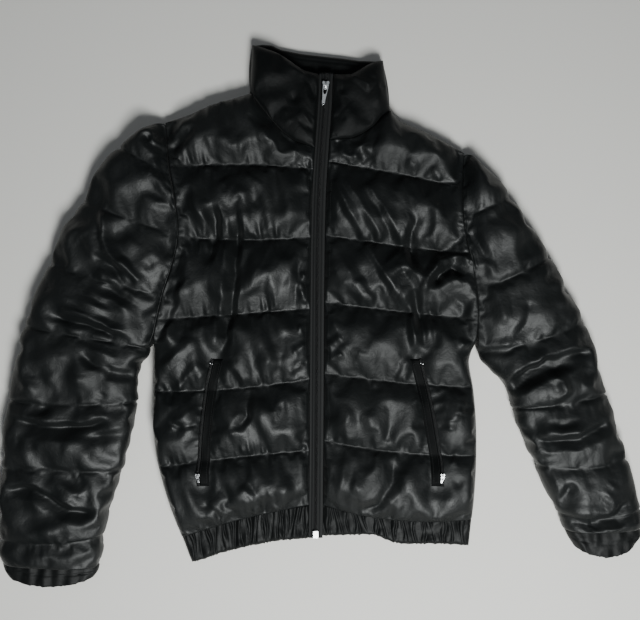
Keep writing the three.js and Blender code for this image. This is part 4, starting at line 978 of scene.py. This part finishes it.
right = Front(SIDE_RIGHT, TOP_RIGHT, SEAMS_RIGHT, POCKET_RIGHT, turn=-1)
left = Front(SIDE_LEFT, TOP_LEFT, SEAMS_LEFT, POCKET_LEFT, turn=1)
fronts = {"right": right, "left": left}
pocket_lines = {"right": POCKET_RIGHT, "left": POCKET_LEFT}
slider_z = {name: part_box("pocket_slider_" + name)[0][2] * 1000 for name in fronts}
surfaces = {}


def front_panel(name, folds, seed):
    """A front that swells and creases between its seams, and lies low under the pocket's slider."""
    front = fronts[name]
    grid = front.grid.copy()
    x, y = grid[..., 0], grid[..., 1]
    grid[..., 2] += FRONT_HUMPS * front.puff * ripple(x * 1.2, y * 0.8, 52, seed)
    from_pocket = near_line(front.pocket, x, y)[0]
    pinned = edge_mask(*x.shape) | front.on_seam[:, None] | (from_pocket < 8)
    settled = settle(name, grid, pinned, growth=0.022, pressure=5.0, reach=6.0)
    room = front.room * (1 - 0.9 * bell(from_pocket, 9))
    z = settled[..., 2]
    z += fold_rise(folds, x, y, seed) * room
    z += puckers(x, y, front.near_seam, seed + 50) * room
    slider_x, slider_y = along_line(pocket_lines[name], [SLIDER_SHARE])[0]
    by_slider = bell(np.hypot(x - slider_x, y - slider_y), SLIDER_REACH)
    z += (slider_z[name] - SLIDER_ABOVE_CLOTH - z) * by_slider
    z[:] = np.maximum(z, front.inside_z + THINNEST_FRONT)
    surfaces[name] = finer(settled)
    piece = closed_panel("front_panel_" + name, surfaces[name], front.inside_z)
    dress_padded(piece, shell, "front_" + name)


front_panel("right", FRONT_FOLDS_RIGHT, 11)
front_panel("left", FRONT_FOLDS_LEFT, 23)


# Sleeves and cuffs
class Sleeve:
    """A loop of cloth from a base line at the outer edge, over the top, to one at the inner edge.

    A sleeve has a side that it is sewn to above the underarm, and is quilted. A cuff has no side.
    """

    RIM = ((7.0, 0.0), (3.6, 1.6), (1.6, 4.6), (0.4, 9.0), (0.0, 13.4))

    def __init__(self, stations, crown, step, columns, side=None, turn=0):
        self.crown, self.quilted = crown, side is not None
        self.tip_y = side[0][0] if side else 0
        outer = [row[:2] for row in stations]
        inner = [row[2:4] for row in stations]
        self.place_rows(outer, step)
        start, end = spline(outer, self.places), spline(inner, self.places)
        self.bow = spline([row[4:] for row in stations], self.places)
        free = np.ones(len(start))
        if self.quilted:
            joined = end[:, 1] > UNDERARM_Y - 20
            body_x = column_at(side, end[:, 1]) + turn * SEAM_GAP
            end[:, 0] = np.where(joined, turn * np.maximum(turn * end[:, 0], turn * body_x), end[:, 0])
            free = np.where(joined, smooth((UNDERARM_Y + 6 - end[:, 1]) / 18), 1)
            along = unit(end - start)
            bulge = SIDE_BULGE * (arch(self.seam_distance, 24) - 0.55)
            bulge = bulge + 1.1 * ripple(start[:, :1], start[:, 1:], 34, 9) * (self.seam_distance > 3)
            start, end = start - along * bulge, end + along * bulge * free[:, None]
        self.start, self.end, self.free = start, end, free[:, None]
        self.width = np.linalg.norm(end - start, axis=1)[:, None]
        t = np.linspace(0, 1, columns)
        self.shares = mix(t, 0.5 - 0.5 * np.cos(np.pi * t), 0.55)[None, :]
        along = (end - start) / self.width
        self.normal = np.stack([along[:, 1], -along[:, 0]], axis=-1)
        self.down = np.where(self.normal[:, 1:] < 0, 1.0, -1.0)
        self.build()

    def place_rows(self, outer, step):
        """Rows at an even step, counted anew from each quilted line."""
        last = len(outer) - 1
        starts = range(0, last, 2) if self.quilted else [0]
        places, seam_distance, on_seam = [], [], []
        for start in starts:
            stop = min(start + 2, last) if self.quilted else last
            ends = spline(outer, np.array([start, stop], float))
            pitch = float(np.linalg.norm(ends[1] - ends[0]))
            count = max(5, round(pitch / step))
            for k in range(count):
                places.append(start + (stop - start) * k / count)
                seam_distance.append(min(k / count, 1 - k / count) * pitch)
                on_seam.append(k == 0 and start > 0)
        self.places = np.array([*places, last])
        self.seam_distance = np.array([*seam_distance, 0])[:, None]
        self.on_seam = np.array([*on_seam, False])[:, None]

    def at(self, s):
        """Plan coordinates at distances from the outer edge."""
        share = s / self.width
        bow = 4 * self.bow * share * (1 - share) * self.down
        x = mix(self.start[:, :1], self.end[:, :1], share) + self.normal[:, :1] * bow
        y = mix(self.start[:, 1:], self.end[:, 1:], share) + self.normal[:, 1:] * bow
        return x, y

    def build(self):
        """The plain swollen loop, and where folds and puckers have room."""
        s = self.shares * self.width
        rest = self.width - s
        reach = np.minimum(ROUND_REACH, 0.46 * self.width)
        channel = swell(self.seam_distance, CHANNEL_REACH, 1.7) if self.quilted else 1.0
        roundness = arch(s, reach) * arch(rest, reach)
        edge = arch(s, EDGE_REACH) * mix(1, arch(rest, EDGE_REACH), self.free)
        wall = EDGE_WALL + (SEAM_WALL - EDGE_WALL) * edge * roundness**0.3
        wall = wall + self.crown * roundness * (0.74 + 0.26 * channel)
        z = BACK_WALL + 2 * SEAM_GAP + np.maximum(EDGE_WALL, wall)
        by_armhole = (1 - self.free) * bell(rest, ARMHOLE_REACH)
        if self.quilted:
            z = mix(z, armhole_z(self.end[:, 1:], self.tip_y), by_armhole)
        self.puff = roundness * channel**0.5
        self.room = np.maximum(roundness, 0.7 * by_armhole * arch(s, 20)) * (0.45 + 0.55 * channel)
        top = points_of(*self.at(s), z)
        narrow = np.minimum(1, self.width / 40)
        outer_rim, inner_rim = [], []
        for inset, height in self.RIM:
            outer_rim.append(points_of(*self.at(inset * narrow), height))
            inner_s = self.width - inset * narrow * np.maximum(self.free, 0.03)
            inner_rim.append(points_of(*self.at(inner_s), height))
        self.grid = np.concatenate([*outer_rim, top, *inner_rim[::-1]], axis=1)
        self.rim = len(self.RIM)
        self.top = slice(self.rim, self.grid.shape[1] - self.rim)


def sleeve_piece(name, stations, folds, seed):
    """A sleeve that swells and creases between its quilted lines, which hold it only in places."""
    front = fronts[name]
    sleeve = Sleeve(stations, SLEEVE_CROWN, SLEEVE_STEP, SLEEVE_COLUMNS, front.side, front.turn)
    grid, top = sleeve.grid.copy(), sleeve.top
    x, y = grid[:, top, 0], grid[:, top, 1]
    grid[:, top, 2] += SLEEVE_HUMPS * sleeve.puff * ripple(x, y, 56, seed)
    stitched = ripple(grid[..., 0], grid[..., 1], 90, seed + 8) > -0.1
    pinned = edge_mask(*stitched.shape) | (sleeve.on_seam & stitched)
    pinned[:, 1] = pinned[:, -2] = True
    pinned[sleeve.free[:, 0] < 0.5, -sleeve.rim - 1:] = True
    settled = settle(name, grid, pinned, growth=0.018, pressure=5.0, reach=5.0)
    z = settled[:, top, 2]
    z += fold_rise(folds, x, y, seed) * sleeve.room
    z += 0.6 * puckers(x, y, sleeve.seam_distance, seed + 50) * sleeve.room
    z[:] = np.maximum(z, LOWEST_SLEEVE_TOP)
    distance = np.repeat(sleeve.seam_distance[:, 0], 2)[:-1]
    groove = SLEEVE_GROOVE * bell(distance, GROOVE_REACH)
    piece = closed_tube("sleeve_tube_" + name, finer(settled), groove)
    dress_padded(piece, shell, "sleeve_" + name)


def cuff_piece(name, stations, seed):
    """A cuff gathered on elastic, with one sewn line round it and a flattened mouth."""
    lowered = [(a, b - SEAM_GAP, c, d - SEAM_GAP, e) for a, b, c, d, e in stations]
    cuff = Sleeve(lowered, CUFF_CROWN, CUFF_STEP, CUFF_COLUMNS)
    grid, top = cuff.grid.copy(), cuff.top
    s = cuff.shares * cuff.width
    ends = arch(s, 9) * arch(cuff.width - s, 9)
    down = (cuff.places / cuff.places[-1])[:, None]
    wave = gather_wave(cuff.shares + 0.012 * np.sin(down * 5 + cuff.shares * 30), CUFF_GATHERS)
    small = ripple(grid[:, top, 0], grid[:, top, 1] * 0.7, 24, seed)
    sewn = bell(down - CUFF_STITCH_SHARE, 0.06)
    gathers = CUFF_GATHER_RISE * wave * (0.3 + 0.7 * down)
    grid[:, top, 2] += ends * (gathers + 1.3 * small - 1.2 * sewn)
    grid[:, top, 1] += ends * CUFF_GATHER_SWAY * wave * smooth(down * 1.5 - 0.5)
    piece = closed_tube("cuff_band_" + name, grid, lip=CUFF_LIP)
    dress_padded(piece, shaded_gathered_shell, "cuff_" + name)


sleeve_piece("right", SLEEVE_RIGHT, ARM_FOLDS_RIGHT, 31)
sleeve_piece("left", SLEEVE_LEFT, ARM_FOLDS_LEFT, 43)
cuff_piece("right", CUFF_RIGHT, 51)
cuff_piece("left", CUFF_LEFT, 52)


# Back, hem and collar: what shows of the back is underneath, and nearly flat where it rests
def back_neck(shares):
    """The neck's back edge, which sags a little between the two shoulders."""
    shares = np.asarray(shares, float)[:, None]
    ends = mix(right.first_row[right.neck], left.first_row[left.neck], shares)
    return ends - np.array([0, 4 * NECK_SAG]) * shares * (1 - shares)


def band(upper, lower, columns, rows):
    """Plan coordinates from an upper line to a lower one, with the shares across and down, and the depth."""
    across = np.linspace(0, 1, columns)
    down = np.linspace(0, 1, rows)[:, None]
    start, stop = along_line(upper, across), along_line(lower, across)
    x = mix(start[None, :, 0], stop[None, :, 0], down)
    y = mix(start[None, :, 1], stop[None, :, 1], down)
    deep = np.linalg.norm(start - stop, axis=1)[None, :]
    return across[None, :], down, x, y, deep


def back_panel():
    """Both halves of the back, with the fronts' quilt lines carried round to a shared middle."""
    (middle_x, middle_y), = back_neck([0.5])
    middles = [(a[2] + b[2]) / 2 for a, b in zip(SEAMS_RIGHT, SEAMS_LEFT)]
    halves = []
    for front in (right, left):
        line = [*front.top[:5], (middle_x + front.turn * ZIP_HALF_WIDTH, middle_y)]
        seams = [(side_y, inner_y, middle) for (side_y, inner_y, _), middle in zip(front.seams, middles)]
        halves.append(Front(front.side, line, seams, front.pocket, front.turn))
    grid = np.concatenate([halves[0].grid, halves[1].grid[:, ::-1]], axis=1)
    x, y = grid[..., 0], grid[..., 1]
    from_side = np.minimum(x - column_at(SIDE_RIGHT, y), column_at(SIDE_LEFT, y) - x)
    share, channel = halves[0].share[:, None], halves[0].channel[:, None]
    pitch = halves[0].pitch.mean(axis=1)[:, None]
    near_seam = np.minimum(share, 1 - share) * pitch
    by_top = np.where(channel == 0, 1 - arch(share * pitch, 8), 0)
    rim = 9 * np.maximum((1 - arch(from_side, 8)) * free_side(y), by_top)
    groove = BACK_GROOVE * bell(near_seam, GROOVE_REACH) * (channel + share > 0.3)
    grid[..., 2] = np.maximum(rim, groove) + 0.25 * (1 + ripple(x, y, 30, 5)) * np.exp(-near_seam / 12)
    piece = closed_panel("back_padded", grid, BACK_WALL)
    dress_padded(piece, shell, "back_panel")


def hem_back():
    upper = np.concatenate([right.last_row, left.last_row[::-1]]) - [0, SEAM_GAP]
    lower = [*HEM_EDGE_RIGHT, *HEM_EDGE_LEFT[::-1]]
    across, down, x, y, _ = band(upper, lower, *HEM_BACK_GRID)
    wave = gather_wave(across + 0.01 * np.sin(down * 6), 2 * HEM_GATHERS)
    ends = arch(across * HEM_BACK_WIDTH, 8) * arch((1 - across) * HEM_BACK_WIDTH, 8)
    ends = ends * arch((1 - down) * HEM_DEPTH, 8)
    z = 5 * (1 - ends) + ends * 0.9 * (1 + wave) * np.sin(np.pi * clamp(down * 1.2)) ** 0.5
    piece = closed_panel("hem_back_band", points_of(x, y, z), HEM_BACK_WALL)
    dress_padded(piece, shaded_gathered_shell, "hem_back")


def collar_back():
    """The stand collar's back, with one stitched line along its top edge."""
    lower = back_neck(np.linspace(0, 1, 30)) + [0, SEAM_GAP]
    across, down, x, y, deep = band(COLLAR_BACK_TOP, lower, *COLLAR_BACK_GRID)
    x = x + 3.0 * np.sin(np.pi * down) * np.where(across < 0.5, -1, 1) * (np.abs(2 * across - 1) ** 6)
    ends = arch(across * COLLAR_BACK_WIDTH, 11) * arch((1 - across) * COLLAR_BACK_WIDTH, 11)
    edge = arch(down * deep, 11) * ends
    stitched = bell(down * deep - COLLAR_STITCH_DEPTH, 2.0) * edge
    z = COLLAR_BACK_EDGE + COLLAR_BACK_RISE * edge - 1.3 * stitched
    z = z + 0.8 * edge * ripple(x, y, 24, 9) * np.sin(np.pi * down)
    piece = closed_panel("collar_back_padded", points_of(x, y, np.minimum(z, BACK_WALL)), 0)
    dress_padded(piece, shaded_collar_shell, "collar_back")


def hem_piece(name, edge, seed):
    """Half of the hem's front, gathered on elastic."""
    inside_z = HEM_BACK_WALL + SEAM_GAP
    seam = fronts[name].last_row - [0, SEAM_GAP]
    across, down, x, y, _ = band(seam, edge, *HEM_FRONT_GRID)
    lean = 0.03 * (down - 0.5) + 0.01 * np.sin(down * 5 + across * 40)
    wave = gather_wave(across + lean, HEM_GATHERS, seed)
    deep = 0.7 + 0.3 * np.abs(2 * down - 1) ** 0.8
    open_end = arch((1 - down) * HEM_DEPTH, 9) * arch(across * HEM_FRONT_WIDTH, 12)
    strong = smooth(across * 5 + 0.35)
    fading = clamp(0.75 + 0.35 * ripple(x, y, 24, seed + 5))
    z = inside_z + EDGE_WALL + 9 * (0.25 + 0.75 * open_end)
    z = z + strong * HEM_GATHER_RISE * wave * deep * fading + 0.8 * ripple(x, y * 0.5, 18, seed)
    z = np.maximum(z, inside_z + THINNEST_HEM)
    y = y + smooth(down * 2 - 1) * HEM_GATHER_SWAY * wave * strong
    piece = closed_panel("hem_band_" + name, points_of(x, y, z), inside_z)
    dress_padded(piece, shaded_gathered_shell, "hem_front_" + name)


def flap_piece(name, flap, folds, seed):
    """One of the collar's two front flaps."""
    front = fronts[name]
    inside_z = front.inside_z
    seam = front.first_row[front.neck:] + [0, SEAM_GAP]
    across, down, x, y, deep = band(flap, seam, *FLAP_GRID)
    x = x + (front.zip_edge(y[:, -1:]) - x[:, -1:]) * across
    wide = math.dist(flap[0], flap[-1])
    from_zip = np.abs(x - front.zip_edge(y))
    edge = arch(down * deep, EDGE_REACH) * arch(across * wide, EDGE_REACH)
    puff = arch(down * deep, 34) * arch((1 - down) * deep, 26) * arch(across * wide, FLAP_REACH)
    z = EDGE_WALL + (SEAM_WALL - EDGE_WALL) * edge + COLLAR_CROWN * puff * arch(from_zip, FLAP_REACH)
    z = z + zip_lift(y, from_zip, inside_z, FLAP_REACH) * edge
    z = inside_z + np.maximum(EDGE_WALL, z) + 0.6 * puff * ripple(x, y, 44, seed)
    grid = points_of(x, y, z)
    settled = settle("flap_" + name, grid, edge_mask(*z.shape), growth=0.012, pressure=4.0, reach=4.0)
    settled[..., 2] += fold_rise(folds, x, y, seed) * clamp(puff + 0.15)
    settled[..., 2] = np.maximum(settled[..., 2], inside_z + THINNEST_FLAP)
    piece = closed_panel("collar_flap_" + name, finer(settled), inside_z)
    dress_padded(piece, shaded_collar_shell, "collar_front_" + name)


back_panel()
hem_back()
collar_back()
hem_piece("right", HEM_EDGE_RIGHT, 61)
hem_piece("left", HEM_EDGE_LEFT, 62)
flap_piece("right", COLLAR_FLAP_RIGHT, NECK_FOLDS_RIGHT, 71)
flap_piece("left", COLLAR_FLAP_LEFT, NECK_FOLDS_LEFT, 72)


# Zips, pockets and sewing
def walk(line, pitch):
    """Places at an even pitch on a line in space, with the line's direction at each."""
    line = np.asarray(line, float)
    lengths = lengths_along(line)
    at = np.arange(pitch / 2, lengths[-1], pitch)
    ahead = points_at(line, lengths, at + LOOK_AHEAD)
    behind = points_at(line, lengths, at - LOOK_AHEAD)
    return points_at(line, lengths, at), unit(ahead - behind)


def sew(name, lines, rise=0.25):
    """A running stitch along each line."""
    runs = [walk(line, STITCH_PITCH) for line in lines]
    centres = np.concatenate([places for places, _ in runs]) + rise * UP
    along = np.concatenate([directions for _, directions in runs])
    dress(beads(name, centres, along, STITCH_HALF, sides=5), thread)


def teeth(name, line, reach, lift, replaces):
    """A coil's turns, taken from both sides in turn."""
    places, along = walk(line, TOOTH_PITCH / 2)
    across = unit(np.cross(UP, along))
    sign = np.where(np.arange(len(places)) % 2, 1.0, -1.0)[:, None]
    centres = places + across * sign * reach * 0.42 + UP * lift
    piece = beads(name, centres, across, np.array([reach * 0.58, 0.52, 0.8]))
    dress(piece, coil, replaces=replaces)


def zip_tape(name, turn):
    """One side's woven tape, with a thick edge beside the coil and a rib further out."""
    y = np.linspace(*TAPE_ENDS, TAPE_ROWS)[:, None]
    outs = np.array([[0.3, 0.9, 1.7, 2.6, 3.3, 4.2, 4.8, 5.2, 5.6, 6.2, 8.0, 9.3, 9.7]])
    thick_edge, rib = bell(outs - 1.9, 1.0), 0.8 * bell(outs - 5.2, 0.6)
    top = points_of(zip_x(y) + turn * outs, y, zip_z(y) - 0.7 + (thick_edge + rib))
    piece = closed_sheet("woven_tape_" + name, top, zip_z(y) - 2)
    dress(piece, tape, replaces="zip_tape_" + name)


zip_tape("right", right.turn)
zip_tape("left", left.turn)
chain_y = np.linspace(*CHAIN_ENDS, CHAIN_POINTS)
chain = points_of(zip_x(chain_y), chain_y, zip_z(chain_y))
teeth("zip_coil", chain, reach=1.7, lift=1.1, replaces="zip_chain")


def height_on(grid):
    """The height of a panel's surface over given places."""
    faces = grid_faces(*grid.shape[:2]).tolist()
    tree = BVHTree.FromPolygons([tuple(p) for p in grid.reshape(-1, 3)], faces)

    def height(x, y):
        hit = tree.ray_cast(Vector((x, y, 200.0)), Vector((0, 0, -1)))[0]
        return hit.z if hit else 0.0

    return np.vectorize(height)


def pocket_band(name, centre, shares, height):
    """The stitched band along the pocket's opening. Its top points are given back, for the sewing."""
    outs = np.linspace(BAND_START, WELT_WIDTH, BAND_COLUMNS)[None, :]
    x, y = centre[:, :1] - fronts[name].turn * outs, centre[:, 1:]
    rest = height(x, y) + BAND_ABOVE_CLOTH
    edge = np.minimum(outs - BAND_START, WELT_WIDTH - outs)
    stitched = bell(outs - WELT_WIDTH + 2.6, 0.8) + bell(outs - 4.2, 0.8)
    ends = np.minimum(shares, 1 - shares)[:, None] * POCKET_LENGTH
    body = 0.2 + 0.9 * smooth(edge / 2.5) * arch(ends, 3) - 0.35 * stitched
    top = points_of(x, y, rest + body)
    piece = closed_sheet("pocket_band_" + name, top, rest - BAND_THICKNESS)
    dress(piece, shaded_welt_shell, replaces="pocket_welt_" + name)
    return top


def pocket_zip(name, centre, shares, height):
    """The pocket's coil, its two metal top stops, and the tape under them."""
    by_slider = np.exp(-(((shares - SLIDER_SHARE) / 0.05) ** 4))[:, None]
    x, y = centre[:, :1] + np.array([[-2.2, -1.4, 1.4, 2.2]]), centre[:, 1:]
    cloth = height(x, y).max(axis=1, keepdims=True)
    chain = mix(cloth + 0.2, slider_z[name] - SLIDER_ABOVE_CHAIN, by_slider)
    line = np.concatenate([centre, chain], axis=1)
    teeth("pocket_coil_" + name, line, reach=1.3, lift=1.0, replaces="pocket_chain_" + name)
    stops = beads("pocket_stops_" + name, line[2] + STOP_PLACES, (0, 1, 0), STOP_HALF, sides=8)
    dress(stops, zip_metal)
    top = points_of(x, y, chain + np.array([[0.3, 0.7, 0.7, 0.3]]))
    ribbon = closed_sheet("pocket_tape_" + name, top, chain - 1.0)
    dress(ribbon, tape)


shares = np.linspace(0, 1, POCKET_POINTS)
for name, surface in surfaces.items():
    centre = along_line(pocket_lines[name], shares)
    height = height_on(surface)
    top = pocket_band(name, centre, shares, height)
    pocket_zip(name, centre, shares, height)
    sew("pocket_sewing_" + name, [top[2:-2, 1], top[2:-2, -3], top[2, 1:-2], top[-3, 1:-2]])

for name, surface in surfaces.items():
    seams = [surface[2 * row, 3:-3] for row in np.flatnonzero(fronts[name].on_seam)]
    sew("front_sewing_" + name, seams, rise=0.0)
    sew("placket_sewing_" + name, [surface[4:-4, -5]], rise=0.3)


# Fittings
def rounded_metal(name, rounding, body="jacket"):
    """A fitting as in the CAD, with its sharp edges rounded."""
    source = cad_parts[name]
    b = bmesh.new()
    b.from_mesh(source.data)
    b.transform(source.matrix_world)
    bmesh.ops.remove_doubles(b, verts=b.verts, dist=1e-6)
    bmesh.ops.dissolve_limit(b, angle_limit=FLAT_ANGLE, verts=b.verts, edges=b.edges)
    sharp = [e for e in b.edges if len(e.link_faces) == 2 and e.calc_face_angle() > SHARP_ANGLE]
    bmesh.ops.bevel(
        b, geom=sharp, offset=rounding / 1000, segments=2, profile=0.5, affect="EDGES", clamp_overlap=True
    )
    mesh = bpy.data.meshes.new(name + "_plated")
    b.to_mesh(mesh)
    b.free()
    piece = bpy.data.objects.new(name + "_plated", mesh)
    bpy.context.scene.collection.objects.link(piece)
    dress(piece, zip_metal, body, name)


rounded_metal("zip_box", 0.5)
rounded_metal("zip_slider", 0.35)
rounded_metal("zip_pull", 0.25, "front_pull")
for name in fronts:
    rounded_metal("pocket_slider_" + name, 0.22)
    rounded_metal("pocket_pull_" + name, 0.15, name + "_pocket_pull")


# Floor, light and camera
def area_light(name, place, size, power, color):
    """A square light that looks at the middle of the floor."""
    data = bpy.data.lights.new(name, "AREA")
    data.size, data.energy, data.color = size, power, color
    lamp = bpy.data.objects.new(name, data)
    lamp.location = place
    lamp.rotation_euler = (-Vector(place)).to_track_quat("-Z", "Y").to_euler()
    bpy.context.scene.collection.objects.link(lamp)


bpy.ops.mesh.primitive_plane_add(size=6, location=(0, 0, -0.0005))
floor = bpy.context.object
floor.name = "floor"
floor.data.materials.append(material("pale_floor", (0.86, 0.84, 0.8), 0.85)[0])

area_light("key", (0.28, -0.85, 1.35), size=0.5, power=33, color=(0.97, 1, 0.99))
area_light("fill", (-0.5, 0.5, 2.1), size=1.6, power=3, color=(0.92, 0.97, 1))
world = bpy.data.worlds.new("studio")
world.use_nodes = True
background = world.node_tree.nodes["Background"]
background.inputs["Color"].default_value = (0.85, 0.92, 1, 1)
background.inputs["Strength"].default_value = 0.06
bpy.context.scene.world = world

# Straight above, in metres: the picture is as wide as the photograph at the camera's plane
CAMERA_X = -0.0005
CAMERA_Y = 0.0036
CAMERA_HEIGHT = 1.25
CAMERA_PLANE = 0.023
PICTURE_WIDTH = 0.896
SENSOR_WIDTH = 36
camera_data = bpy.data.cameras.new("camera")
camera = bpy.data.objects.new("camera", camera_data)
camera.location = (CAMERA_X, CAMERA_Y, CAMERA_HEIGHT)
camera_data.lens = SENSOR_WIDTH * (CAMERA_HEIGHT - CAMERA_PLANE) / PICTURE_WIDTH
bpy.context.scene.collection.objects.link(camera)
bpy.context.scene.camera = camera
